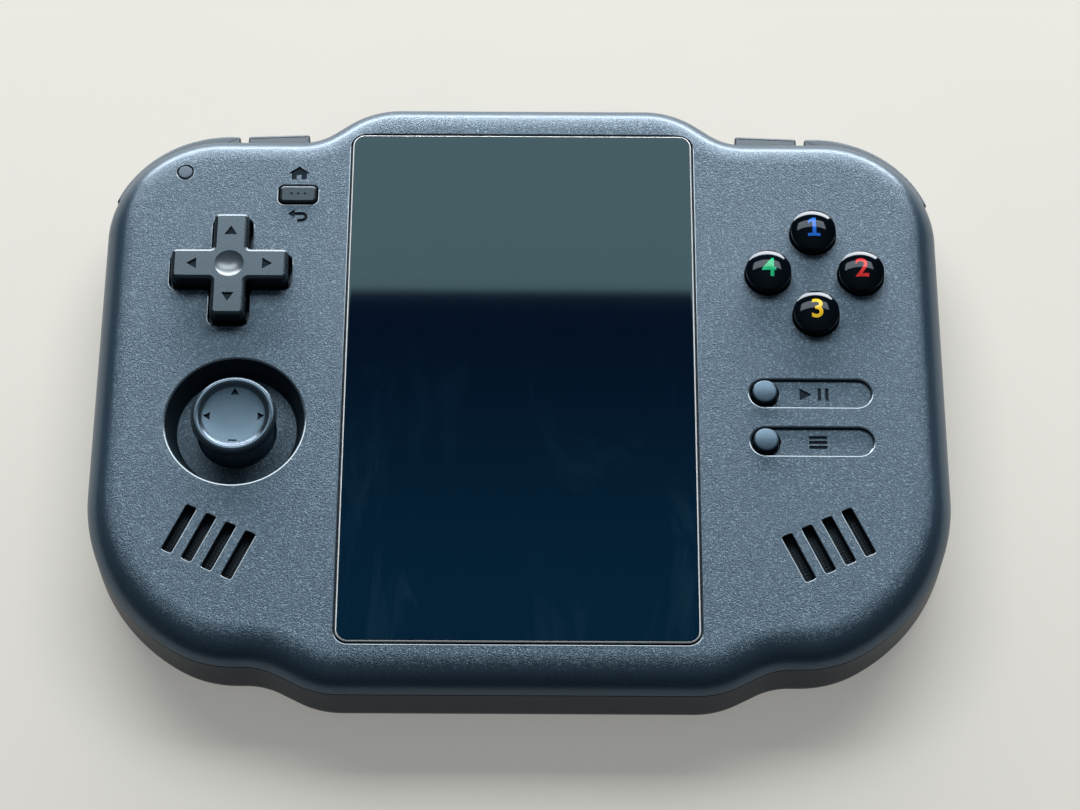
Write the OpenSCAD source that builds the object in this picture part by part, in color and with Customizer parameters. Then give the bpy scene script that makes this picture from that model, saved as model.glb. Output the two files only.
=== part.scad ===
// Handheld game console with a tall screen between two control wings.
// Millimetres. The origin is the middle of the flat back, +Z points out of the screen, +Y to the shoulders.

/* [Screen] */
// Width of the cover glass
glass_w = 56.4; // [50:0.1:64]
// Height of the cover glass
glass_h = 91; // [82:0.5:100]
// Thickness of the cover glass
glass_t = 1.1; // [0.8:0.1:1.4]
// Corner radius of the cover glass
glass_r = 2; // [1:0.1:4]
// Height of the glass above the face
glass_proud = 0.2; // [0:0.05:0.4]
// Gap between the glass and its pocket
glass_gap = 0.3; // [0.1:0.05:0.5]
// Width of the ledge that the glass is taped to
ledge_w = 1.8; // [1.2:0.1:2.4]
// Thickness of the tape under the glass
tape_t = 0.2; // [0.1:0.05:0.3]
// Thickness of the display panel
panel_t = 2.2; // [1.6:0.1:2.6]

/* [Case] */
// Width of each wing beside the glass
wing_w = 40.3; // [37:0.1:46]
// Case above the glass
head_margin = 7.1; // [6.6:0.1:9]
// Least case below the glass
chin_margin = 7.1; // [6.6:0.1:9]
// Step from the head down to the wings' top edge
head_step = 6.4; // [5.6:0.1:7.2]
// Step from the chin up to the wings' bottom edge
chin_step = 4.45; // [3.6:0.05:5.2]
// Thickness of the case
case_t = 16.4; // [15.4:0.1:19]
// Depth of the front shell, from the face to the seam
front_t = 4.2; // [3.8:0.1:4.8]
// Height of the broad round of the front edge, which the seam cuts off
front_edge_h = 5.6; // [4.6:0.1:6.4]
// Width of the broad round of the front edge
front_edge_w = 6.2; // [5:0.1:6.6]
// Radius of the rear edge
rear_edge_r = 5; // [4:0.1:5.6]
// Thickness of the shell walls
wall = 1.8; // [1.6:0.05:2]
// Radius of the upper corners
upper_r = 18.5; // [17:0.5:20]
// Radius of the lower corners on their side part
lower_side_r = 30.5; // [27:0.5:34]
// Radius of the lower corners on their bottom part
lower_r = 18.2; // [15:0.2:21]
// Sweep of the lower corners' side part, in degrees
lower_split = 60; // [50:1:70]
// Width of the flat on top of the head
head_flat = 41; // [38:0.5:44]
// Outer bend radius of the head
head_bend_r = 15; // [12:0.5:17]
// Inner bend radius of the head
head_dip_r = 9.4; // [7:0.2:11]
// Slope between the head's bends, in degrees
head_slope = 36; // [32:1:40]
// Width of the flat under the chin
chin_flat = 55; // [50:0.5:58]
// Outer bend radius of the chin
chin_bend_r = 15; // [12:0.5:17]
// Inner bend radius of the chin
chin_dip_r = 11.6; // [9:0.2:13]
// Slope between the chin's bends, in degrees
chin_slope = 27; // [25:1:31]
// Depth of the groove along the seam
seam_groove = 0.2; // [0.1:0.05:0.3]
// Height of the tongue that locates the shells
tongue_h = 1.2; // [0.8:0.1:1.8]
// Thickness of the tongue
tongue_t = 0.8; // [0.6:0.1:1]

/* [Board and battery] */
// Thickness of the circuit board
board_t = 1.6; // [1.2:0.1:1.8]
// Room between the face and the board for the keys
key_depth = 4.4; // [4.2:0.1:4.8]
// Gap between the board and the side walls
board_gap = 1.8; // [1:0.1:2.6]
// Width of the battery
battery_w = 60; // [50:1:64]
// Height of the battery
battery_h = 50; // [40:1:54]
// Thickness of the battery
battery_t = 4.8; // [4:0.1:5]
// Width of the shield over the processor
shield_w = 28; // [20:1:32]
// Height of the shield over the processor
shield_h = 18; // [14:1:20]
// Thickness of the shield over the processor
shield_t = 1.8; // [1.2:0.1:2]

/* [Screws] */
// Shank radius of the screws
screw_r = 0.95; // [0.8:0.05:1.05]
// Head radius of the screws
screw_head_r = 1.8; // [1.5:0.1:1.9]
// Head height of the screws
screw_head_t = 1.3; // [1:0.1:1.4]
// Depth of the screw heads' recess in the back
screw_recess = 2.4; // [2:0.1:2.8]
// Wall of a screw post around its hole
post_wall = 0.9; // [0.8:0.1:1]

/* [Direction pad] */
// Distance of the pad's centre from the glass
pad_offset = 19.25; // [17.6:0.05:20]
// Drop of the pad's centre below the wing's top edge
pad_drop = 26.85; // [26:0.05:28]
// Length across two arms
pad_span = 18.9; // [17:0.1:19.4]
// Width of an arm
pad_arm_w = 5.6; // [5:0.1:6.2]
// Height of the pad above the face
pad_rise = 2.9; // [2.2:0.1:3.4]
// Diameter of the dish in its middle
pad_dish_d = 4.8; // [4:0.1:5.2]
// Depth of the dish
pad_dish = 0.5; // [0.3:0.05:0.7]
// Gap between the pad and its opening
pad_gap = 0.55; // [0.5:0.05:0.7]
// Radius of the pivot ball
pivot_r = 1.6; // [1.4:0.05:1.7]

/* [Keys] */
// Distance of the face buttons' centre from the glass
face_offset = 19.75; // [18:0.05:20.4]
// Drop of the face buttons' centre below the wing's top edge
face_drop = 26.9; // [26.6:0.05:28.4]
// Distance of each face button from their centre
face_pitch = 7.57; // [7:0.05:8]
// Diameter of a face button
face_d = 7.4; // [6.8:0.1:8]
// Height of a face button above the face
face_rise = 2.8; // [1.8:0.1:3]
// Height of a face button's crown
face_crown = 1.2; // [0.8:0.1:1.4]
// Distance of the start and select buttons from the glass
start_offset = 11; // [9.6:0.1:12]
// Drop of the start button below the wing's top edge
start_drop = 48.55; // [47:0.05:50]
// Distance between the start and select buttons
start_pitch = 8.55; // [7.6:0.05:9.4]
// Diameter of the start and select buttons
start_d = 4.1; // [3.6:0.1:4.3]
// Height of the start and select buttons above the face
start_rise = 0.9; // [0.5:0.1:1.2]
// Length of the recess that holds a start or select button
pill_l = 19.6; // [16:0.1:20.4]
// Width of that recess
pill_w = 4.9; // [4.6:0.1:5.4]
// Depth of that recess
pill_deep = 0.5; // [0.3:0.1:0.7]
// Distance of the function button from the glass
function_offset = 8.8; // [7:0.1:10]
// Drop of the function button below the wing's top edge
function_drop = 12.25; // [12:0.05:13]
// Width of the function button
function_w = 6.1; // [5:0.1:7]
// Height of the function button
function_h = 3.2; // [2.6:0.1:3.4]
// Height of the function button above the face
function_rise = 0.35; // [0.2:0.05:0.6]
// Gap between a key and its opening
key_gap = 0.25; // [0.2:0.05:0.3]
// Thickness of a key's flange
flange_t = 1; // [0.8:0.1:1.2]
// Width of a key's flange around it
flange_w = 0.8; // [0.6:0.1:0.9]
// Gap between a key's flange and the shell
flange_gap = 0.1; // [0.05:0.05:0.2]
// Thickness of the rubber dome sheets
sheet_t = 0.7; // [0.5:0.1:0.9]
// Depth of the marks moulded into the face
mark_deep = 0.25; // [0.15:0.05:0.4]

/* [Thumb stick] */
// Distance of the stick from the glass
stick_offset = 17.25; // [15.6:0.05:18]
// Drop of the stick below the wing's top edge
stick_drop = 53.95; // [53:0.05:55]
// Radius of the stick's well at the face
well_r = 11.1; // [10.6:0.1:11.6]
// Radius of the well at its floor
well_floor_r = 9.9; // [9:0.1:10.4]
// Depth of the well
well_deep = 4.4; // [4:0.1:4.6]
// Thickness of the well's wall and floor
well_wall = 1; // [0.8:0.1:1.1]
// Radius of the stick's cap
cap_r = 6.85; // [6:0.05:7.2]
// Height of the cap's rim above the face
cap_rise = 2.4; // [2:0.1:3]
// Thickness of the cap
cap_t = 2.5; // [2.2:0.1:2.8]
// Depth of the cap's dish
cap_dish = 1; // [0.6:0.1:1.2]
// Height of the stick's pivot above the case floor
stick_pivot = 5.8; // [5.6:0.1:6.2]
// Radius of the stick's lever
lever_r = 1.2; // [1:0.05:1.3]
// Travel of the stick when it is pressed
stick_click = 0.6; // [0.3:0.1:0.6]

/* [Shoulder buttons] */
// Height of the shoulder buttons
shoulder_h = 7.5; // [6.5:0.1:7.8]
// Gap between the shoulder buttons and the case
shoulder_gap = 0.45; // [0.4:0.05:0.6]
// Depth of the shoulder buttons inside the case outline
shoulder_in = 2.8; // [2.5:0.1:3]
// How far a bumper stands out at its inner end
bumper_out = 1.75; // [1.2:0.05:2]
// How far a bumper stands out at its side end
bumper_side_out = 0.65; // [0.4:0.05:1]
// Angle round the corner where a bumper ends
bumper_end = 23; // [20:1:26]
// Radius of a bumper's pivot pin
bumper_pin_r = 0.75; // [0.6:0.05:0.8]
// Distance of a trigger's inner end from the glass
trigger_offset = 7.7; // [6.8:0.1:8.4]
// Length of a trigger
trigger_l = 10.35; // [9:0.05:11]
// Distance between a trigger and its bumper
trigger_gap = 1.35; // [1.2:0.05:1.6]
// How far a trigger stands out at its outer end
trigger_out = 1.8; // [1.2:0.05:2]
// Extra height of a trigger's inner end
trigger_slant = 0.4; // [0:0.05:0.6]
// Travel of a trigger
trigger_travel = 1; // [0.6:0.1:1]

/* [Speakers and indicator] */
// Distance of the speaker slots' centre from the case's side
slots_side = 20.05; // [19:0.05:21]
// Drop of the slots' centre below the stick
slots_drop = 21.1; // [21:0.1:23]
// Least height of the slots' centre above the wing's bottom edge
slots_rise = 19.3; // [18.6:0.1:20.4]
// Length of a slot
slot_l = 8.5; // [6:0.1:9]
// Width of a slot
slot_w = 1.8; // [1.3:0.05:2]
// Distance between slots
slot_pitch = 3.5; // [3:0.05:3.7]
// Number of slots on each side
slot_count = 4; // [3:1:5]
// Lean of the slots from upright, in degrees
slot_lean = 25; // [20:1:30]
// Length of a speaker
speaker_l = 17; // [15:0.5:18]
// Width of a speaker
speaker_w = 11; // [9:0.5:11.5]
// Thickness of a speaker
speaker_t = 3.8; // [3:0.1:4]
// Thickness of the mesh behind the slots
mesh_t = 0.2; // [0.1:0.05:0.3]
// Distance of the indicator from the case's side
led_side = 12.55; // [11.8:0.05:13]
// Drop of the indicator below the wing's top edge
led_drop = 8; // [7.6:0.05:8.6]
// Radius of the indicator
led_r = 1.2; // [1:0.02:1.6]

/* [Sockets and side keys] */
// Bore radius of the headphone socket
jack_r = 1.8; // [1.7:0.05:1.9]
// Bore length of the headphone socket
jack_l = 14; // [12:0.5:15]
// Distance of the headphone socket from the middle
jack_x = 16.5; // [16:0.1:17]
// Width of the charging socket
usb_w = 8.9; // [8.4:0.1:9.2]
// Height of the charging socket
usb_h = 3.2; // [3:0.1:3.4]
// Depth of the charging socket
usb_l = 7.4; // [6:0.1:8]
// Width of a card that the reader takes
card_w = 11.2; // [11:0.1:11.6]
// Width of a key on the top wall
side_key_w = 5; // [4:0.1:5.4]
// Height of a key on the top wall
side_key_h = 2.2; // [1.8:0.1:2.4]
// How far a key stands out of the top wall
side_key_out = 0.5; // [0.2:0.1:0.8]
// Travel of a key on the top wall
side_key_travel = 0.4; // [0.2:0.1:0.5]

/* [Hidden] */
$fn = 64;

// Running gap of pins and balls, gap of pressed and threaded fits, gap between neighbours inside the case,
// overlap that joins solids or cuts through them, and shortfall that keeps full rounds from meeting
run_gap = 0.05;
press_gap = 0.02;
part_gap = 0.3;
over = 0.1;
sliver = 0.01;

// Plan of the case: the wings hold the stack of controls, and the chin reaches below the glass and the wings
half_w = glass_w / 2 + wing_w;
head_y = glass_h / 2 + head_margin;
wing_top = head_y - head_step;
upper_c = [half_w - upper_r, wing_top - upper_r];
stick_at = [-glass_w / 2 - stick_offset, wing_top - stick_drop];
slots_at = [half_w - slots_side, stick_at[1] - slots_drop];
stack_bottom = slots_at[1] - slots_rise;
chin_y = min(-glass_h / 2 - chin_margin, stack_bottom - chin_step);
wing_bottom = min(chin_y + chin_step, stack_bottom);

// Heights
z_face = case_t;
z_seam = case_t - front_t;
z_ceiling = z_face - wall;
z_floor = wall;
z_board_top = z_ceiling - key_depth;
z_board = z_board_top - board_t;
z_key = z_ceiling - flange_gap - flange_t;
z_ledge = z_face + glass_proud - glass_t - tape_t;
z_panel = z_face + glass_proud - glass_t - panel_t;
front_r = front_t - seam_groove;
rear_r = min(rear_edge_r, z_seam - seam_groove);
tongue_root = 0.5;
tongue_gap = 1.5;

// Display opening, panel and ribbon, inside the ledge
window_w = glass_w - 2 * ledge_w;
window_h = glass_h - 2 * ledge_w;
window_r = 1;
panel_gap = 0.3;
tape_in = 0.3;
tape_gap = 0.2;
ribbon_w = 16;
ribbon_t = 0.3;
ribbon_in = 5;

// Screws and posts
screw_gap = 0.15;
head_gap = 0.2;
boss_wall = 1.6;
post_r = screw_head_r + head_gap + post_wall;
boss_r = screw_r + boss_wall;
screw_grip = 3;
drive_w = 0.6;
drive_r = 0.1;

// Insets of the case screws: from the side and the wing's top, from the glass and the head,
// and from the side and the wing's bottom
upper_screw_in = 11.3;
upper_screw_drop = 13.6;
head_screw_out = 2;
head_screw_drop = 10.2;
lower_screw_in = 21.5;
lower_screw_rise = 8.15;
case_screw_at = [
  [half_w - upper_screw_in, wing_top - upper_screw_drop],
  [glass_w / 2 + head_screw_out, head_y - head_screw_drop],
  [half_w - lower_screw_in, wing_bottom + lower_screw_rise]];

// Control places
pad_at = [-glass_w / 2 - pad_offset, wing_top - pad_drop];
face_at = [glass_w / 2 + face_offset, wing_top - face_drop];
start_at = [glass_w / 2 + start_offset, wing_top - start_drop];
function_at = [-glass_w / 2 - function_offset, wing_top - function_drop];
led_at = [-half_w + led_side, wing_top - led_drop];
function_r = 0.8;
mark_pitch = 4.15;
mark_w = 2.9;

// Direction pad: flange under the face, pivot height, domes and arrows
pad_lift = 1.2;
pad_flange_t = 0.8;
pad_skirt = 1;
pad_corner_r = 0.9;
z_pad_flange = z_ceiling - pad_lift - pad_flange_t;
pad_flange_r = pad_span / 2 + pad_gap + pad_skirt;
pad_dome_at = 6.6;
pad_dome_r = 2;
pad_dome_top_r = 1.4;
pad_sheet_in = 1.2;
pad_arrow_in = 3.3;
pad_arrow_w = 1.7;
pivot_seat = 0.4;
seat_wall = 1.2;
z_pivot = z_board_top + pivot_seat + pivot_r;

// Rubber domes under the keys
dome_r = 2.2;
dome_top_r = 1.6;
dome_rim = 2.4;

// Function switch
switch_gap = 0.7;
function_switch_w = 4;
function_switch_d = 3;
function_switch_t = 1.6;
function_tip_r = 0.9;

// Thumb stick
z_well = z_face - well_deep;
z_stick = z_floor + stick_pivot;
z_cap = z_face + cap_rise;
skirt_rise = 2.5;
skirt_r = z_well + skirt_rise - z_stick;
skirt_t = 0.6;
skirt_gap = 0.4;
skirt_low = 2;
sleeve_wall = 1.2;
sleeve_l = 1.2;
lever_in = 0.6;
lever_ball = 0.4;
housing_gap = 0.5;
housing_wall = 1.1;
housing_base = 0.8;
stick_room = skirt_r + housing_gap;
housing_w = 2 * (stick_room + housing_wall);
ear_out = 2.7;
ear_at = stick_room + ear_out;
ear_t = z_well - well_wall - over - z_board_top;
plate_t = 1;
plate_drop = 3.4;
plate_gap = 0.2;
spring_t = stick_click + 0.2;
spring_r = 4.6;
spring_bore_r = 3.2;
gimbal_w = 6.4;
gimbal_l = 6.8;
gimbal_t = 2.4;
gimbal_wall = 1.1;
trunnion_r = 0.8;
cross_pin_r = 0.7;
post_gap = 0.3;
post_t = 1.5;
post_w = 3.2;
post_over = 1.4;

// Stick cap: rounding of its rim and underside, from the outside in
cap_under = 0.65;
cap_under_rise = 0.2;
cap_side_low = 0.9;
cap_side_top = 0.75;
cap_edge = 0.35;
cap_edge_drop = 0.2;
cap_rim = 0.9;
cap_inner = 1.35;
cap_inner_drop = 0.1;
cap_slope = 2.2;
cap_slope_share = 0.7;

// Shoulder buttons
shoulder_drop = 0.2;
shoulder_reach = 4.2;
shoulder_floor_gap = 0.3;
z_shoulder = z_seam - shoulder_drop - shoulder_h;
bumper_in_x = glass_w / 2 + trigger_offset + trigger_l + trigger_gap;
trigger_x = [glass_w / 2 + trigger_offset, glass_w / 2 + trigger_offset + trigger_l];
trigger_mid = (trigger_x[0] + trigger_x[1]) / 2;
shoulder_back = wing_top - shoulder_in;
eye_wall = 1.15;
eye_in = 1.1;
eye_turn = 3;
bumper_eye_r = bumper_pin_r + eye_wall;
pin_angle = bumper_end + eye_turn;
bumper_pin_at = upper_c + (upper_r - shoulder_in - eye_in) * [cos(pin_angle), sin(pin_angle)];
stem_w = 4;
stem_h = 2.6;
guide_gap = 0.25;
guide_t = 1.5;
guide_d = 2;
guide_over = 0.4;
hook_t = 0.8;
guide_front = shoulder_back - trigger_travel - over;
hook_front = guide_front - guide_d - over;
switch_tip = hook_front - hook_t - trigger_travel - over;
switch_d = 2.3;
switch_w = 5;
switch_h = 2.8;
switch_seat = 1.2;
switch_back = 0.5;
switch_tip_r = 0.8;
board_top_y = switch_tip - switch_d;
nub_w = 2;
nub_in = 1.6;
nub_at = bumper_in_x + nub_in;

// Speakers and light guide
slot_r = 0.35;
speaker_r = 2;
guide_bar_t = 1.1;
guide_bar_w = 1.6;
guide_foot_r = 1;
guide_foot_in = 3;
guide_foot_drop = 5;

// Main board
board_side = half_w - wall - board_gap;
board_clear = 0.4;
board_shoulder_y = case_screw_at[0][1] - post_r - board_clear;
speaker_reach = (speaker_l * sin(slot_lean) + speaker_w * cos(slot_lean)) / 2;
board_wing_y = slots_at[1] + speaker_reach + part_gap;
board_neck_x = case_screw_at[1][0] - post_r - board_clear;
board_shoulder_x = case_screw_at[0][0] - post_r - board_clear;
side_key_back = head_y - wall - over - flange_t;
side_tip = 0.4;
board_head_y = side_key_back - side_key_travel - over - side_tip;
inner_screw_out = 4.8;
inner_screw_rise = 8.35;
outer_screw_in = 10.5;
outer_screw_drop = 12.65;
board_screw_at = [
  stick_at + [ear_at, ear_at],
  stick_at - [ear_at, ear_at],
  [glass_w / 2 + inner_screw_out, start_at[1] + inner_screw_rise],
  [half_w - outer_screw_in, start_at[1] - outer_screw_drop]];

// Battery, its plug and the shield
battery_y = -12;
battery_r = 1.5;
battery_gap = 0.3;
battery_rib = 1;
plug_w = 8;
plug_h = 4;
plug_in = 12;
plug_up = 8;
shield_x = -6;
shield_gap = 3;
shield_r = 1;

// Sockets and side keys
socket_gap = 0.2;
side_key_drop = 1.4;
side_key_r = 0.7;
side_flange_cut = 0.6;
z_side_key = z_board - side_key_drop;
power_x = 8.7;
volume_up_x = -10;
volume_down_x = -17;
side_key_x = [power_x, volume_up_x, volume_down_x];
side_switch_w = 4;
side_switch_d = 2.2;
side_switch_h = 2.6;
side_tip_r = 0.7;
usb_in = 0.4;
usb_shell_t = 0.3;
usb_back_t = 1;
usb_tongue_w = 6.7;
usb_tongue_t = 0.7;
usb_tongue_in = 1;
usb_front = head_y - usb_in;
jack_in = 0.5;
jack_wall = 0.6;
jack_front = head_y - jack_in;
jack_nose_r = 2.7;
jack_nose_gap = 0.15;
jack_nose_l = 2.6;
jack_w = 6.2;
jack_h = 5.6;
jack_sink = 0.1;
z_jack = z_board - jack_h / 2 - jack_sink;
card_t = 1.5;
card_wall = 1;
card_in = 2.3;
card_reach = 16;
card_deep = 13;
card_gap = 0.1;
card_mouth = 0.3;
card_up = 9.75;
card_y = stick_at[1] + card_up;
card_slot_h = 0.9;

// Plan helpers

function arc(c, r, a0, a1, n) =
  [for (i = [0 : n]) c + r * [cos(a0 + (a1 - a0) * i / n), sin(a0 + (a1 - a0) * i / n)]];

// Length along x of an S-bend: outer bend, straight slope, inner bend
function bend_run(step, bend, dip, slope) =
  (bend + dip) * sin(slope) + (step - (bend + dip) * (1 - cos(slope))) / tan(slope);

// Right half of the case outline from the chin up to the head, moved in by d
function half_outline(d) =
  let (
    chin_x = chin_flat / 2,
    head_x = head_flat / 2,
    chin_end = chin_x + bend_run(chin_step, chin_bend_r, chin_dip_r, chin_slope),
    head_end = head_x + bend_run(head_step, head_bend_r, head_dip_r, head_slope),
    grow = lower_side_r - lower_r,
    side_c = [half_w - lower_side_r, wing_bottom + lower_r + grow * sin(lower_split)],
    low_c = side_c + grow * [cos(lower_split), -sin(lower_split)]
  )
  concat(
    arc([chin_x, chin_y + chin_bend_r], chin_bend_r - d, -90, chin_slope - 90, 5),
    arc([chin_end, wing_bottom - chin_dip_r], chin_dip_r + d, chin_slope + 90, 90, 5),
    arc(low_c, lower_r - d, -90, -lower_split, 4),
    arc(side_c, lower_side_r - d, -lower_split * 7 / 8, 0, 7),
    arc(upper_c, upper_r - d, 0, 90, 12),
    arc([head_end, wing_top + head_dip_r], head_dip_r + d, 270, 270 - head_slope, 5),
    arc([head_x, head_y - head_bend_r], head_bend_r - d, 90 - head_slope, 90, 5));

function outline(d) =
  let (right = half_outline(d), n = len(right))
  concat(right, [for (i = [1 : n]) [-right[n - i][0], right[n - i][1]]]);

// Level half a step past b, seen from a
function past(a, b) = b + (b - a) / 2;

// Solid through case outlines; each level is [inset, height], from the bottom up.
// The sides run on past the first and last levels, where the ends are cut flat.
module loft(levels) {
  m = len(levels);
  z0 = levels[0][1];
  z1 = levels[m - 1][1];
  inner = [for (i = [1 : m - 2]) levels[i]];
  run = concat([past(levels[1], levels[0])], inner, [past(levels[m - 2], levels[m - 1])]);
  rings = [for (l = run) [for (p = outline(l[0])) [p[0], p[1], l[1]]]];
  n = len(rings[0]);
  points = [for (r = rings) each r];
  sides = [for (k = [0 : m - 2], i = [0 : n - 1])
    [k * n + i, (k + 1) * n + i, (k + 1) * n + (i + 1) % n, k * n + (i + 1) % n]];
  ends = [[for (i = [0 : n - 1]) i], [for (i = [0 : n - 1]) m * n - 1 - i]];
  intersection() {
    polyhedron(points, concat(sides, ends));
    lift(z0, z1 - z0) square(4 * half_w, center = true);
  }
}

// Levels of a broad elliptic edge that ends at height z and is cut off at a depth below it
function broad_edge(h, w, depth, z, n) =
  let (first = asin(max(0, 1 - depth / h)), step = (90 - first) / n)
  [for (i = [0 : n]) [w * (cos(first) - cos(first + step * i)), z - h * (1 - sin(first + step * i))]];

// Levels of a rounded edge of radius r that ends at height z, at the top or the bottom, with base inset d
function top_edge(r, z, d, n) =
  [for (i = [0 : n]) [d + r * (1 - cos(90 * i / n)), z - r * (1 - sin(90 * i / n))]];
function bottom_edge(r, z, d, n) =
  [for (i = [0 : n]) [d + r * (1 - sin(90 * i / n)), z + r * (1 - cos(90 * i / n))]];

module both_sides() {
  children();
  mirror([1, 0, 0]) children();
}

module lift(z, h) translate([0, 0, z]) linear_extrude(h) children();

module rounded(w, h, r) {
  square([w - 2 * r, h], center = true);
  square([w, h - 2 * r], center = true);
  for (x = [-1, 1], y = [-1, 1]) translate([x * (w / 2 - r), y * (h / 2 - r)]) circle(r);
}

module at(p) translate([p[0], p[1], 0]) children();

// Extrudes a plan drawn in x and z along the y axis, from y0 to y1
module along_y(y0, y1) translate([0, y1, 0]) rotate([90, 0, 0]) linear_extrude(y1 - y0) children();

module cross(span, arm, r) {
  rounded(span, arm, r);
  rounded(arm, span, r);
}

module slots_plan() {
  for (i = [0 : slot_count - 1])
    rotate(slot_lean) translate([(i - (slot_count - 1) / 2) * slot_pitch, 0]) rounded(slot_w, slot_l, slot_r);
}

module speaker_plan() rotate(slot_lean) rounded(speaker_l, speaker_w, speaker_r);

module pill_plan() translate([pill_l / 2 - pill_w / 2, 0]) rounded(pill_l, pill_w, pill_w / 2 - sliver);

// Marks moulded into the face beside the function button, one unit wide: a house and a turn-back arrow
module house_mark() difference() {
  polygon([[-0.5, 0], [0, 0.43], [0.5, 0], [0.345, 0], [0.345, -0.41], [-0.345, -0.41], [-0.345, 0]]);
  polygon([[-0.225, -0.02], [0, 0.17], [0.225, -0.02], [0.225, -0.29], [-0.225, -0.29]]);
}

module back_mark() {
  translate([0.035, -0.33]) square([0.31, 0.14]);
  translate([-0.21, 0.12]) square([0.555, 0.14]);
  translate([0.345, -0.035]) difference() {
    circle(0.295);
    circle(0.155);
    translate([-0.7, -0.35]) square(0.7);
  }
  polygon([[-0.5, 0.19], [-0.19, 0.4], [-0.19, -0.02]]);
}

// Rear wall zone that the two shoulder buttons of one side pass through
module shoulder_zone() {
  end = bumper_end - shoulder_gap / upper_r * 180 / PI;
  x0 = trigger_x[0] - shoulder_gap;
  polygon(concat(
    [[x0, wing_top - shoulder_reach], [x0, wing_top + shoulder_reach]],
    arc(upper_c, upper_r + shoulder_reach, 90, end, 10),
    arc(upper_c, upper_r - shoulder_reach, end, 90, 10)));
}

// Cut through the face
module through() lift(z_ceiling - over, wall + 2 * over) children();

module at_case_screws() both_sides() for (p = case_screw_at) at(p) children();

// Case shells

module front_shell() color("slategray") difference() {
  union() {
    difference() {
      loft(concat([[seam_groove, z_seam]], broad_edge(front_edge_h, front_edge_w, front_r, z_face, 7)));
      loft(concat([[wall, z_seam - wall]], top_edge(front_r - wall, z_ceiling, wall, 4)));
    }
    difference() {
      union() {
        lift(z_seam - tongue_h, tongue_h + tongue_root) tongue_plan(wall + over);
        lift(z_seam, front_r / 2) tongue_plan(wall - over);
      }
      both_sides() lift(z_seam - tongue_h - over, tongue_h + front_r)
        translate([trigger_x[0] - tongue_gap, upper_c[1]]) square(half_w);
    }
    at(stick_at) lift(z_well - well_wall, z_ceiling - z_well + well_wall + over) circle(well_r + well_wall);
    at_case_screws() lift(z_board_top, z_ceiling - z_board_top + over) circle(boss_r);
    for (i = [0 : 3]) {
      z0 = i < 2 ? z_board_top + ear_t : z_board_top;
      at(board_screw_at[i]) lift(z0, z_ceiling - z0 + over) circle(boss_r);
    }
  }
  lift(z_ledge, wall) rounded(glass_w + 2 * glass_gap, glass_h + 2 * glass_gap, glass_r + glass_gap);
  through() rounded(window_w, window_h, window_r);
  at(pad_at) through() cross(pad_span + 2 * pad_gap, pad_arm_w + 2 * pad_gap, pad_corner_r + part_gap);
  for (a = [0 : 90 : 270]) at(face_at) rotate(a) translate([face_pitch, 0, 0])
    through() circle(face_d / 2 + key_gap);
  for (i = [0, 1]) at(start_at - [0, i * start_pitch]) {
    through() circle(start_d / 2 + key_gap);
    lift(z_face - pill_deep, wall) pill_plan();
  }
  at(function_at) {
    through() rounded(function_w + 2 * key_gap, function_h + 2 * key_gap, function_r + key_gap);
    translate([0, mark_pitch]) lift(z_face - mark_deep, wall) scale(mark_w) house_mark();
    translate([0, -mark_pitch]) lift(z_face - mark_deep, wall) scale(mark_w) back_mark();
  }
  at(led_at) through() circle(led_r + run_gap);
  at(stick_at) {
    translate([0, 0, z_well]) cylinder(h = well_deep, r1 = well_floor_r, r2 = well_r);
    translate([0, 0, z_face]) cylinder(h = wall, r = well_r);
    translate([0, 0, z_well - 2 * well_wall]) cylinder(h = 4 * well_wall, r = skirt_hole());
  }
  both_sides() at(slots_at) through() slots_plan();
  at_case_screws() screw_hole();
  for (p = board_screw_at) at(p) screw_hole();
}

module screw_hole()
  translate([0, 0, z_board_top - wall]) cylinder(h = screw_grip + wall, r = screw_r + press_gap);

module tongue_plan(d) difference() {
  polygon(outline(d));
  polygon(outline(wall + over + tongue_t));
}

// Hole in the well's floor that clears the stick's round skirt
function skirt_hole() = sqrt(pow(skirt_r, 2) - pow(z_well - well_wall - z_stick, 2)) + skirt_gap;

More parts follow.
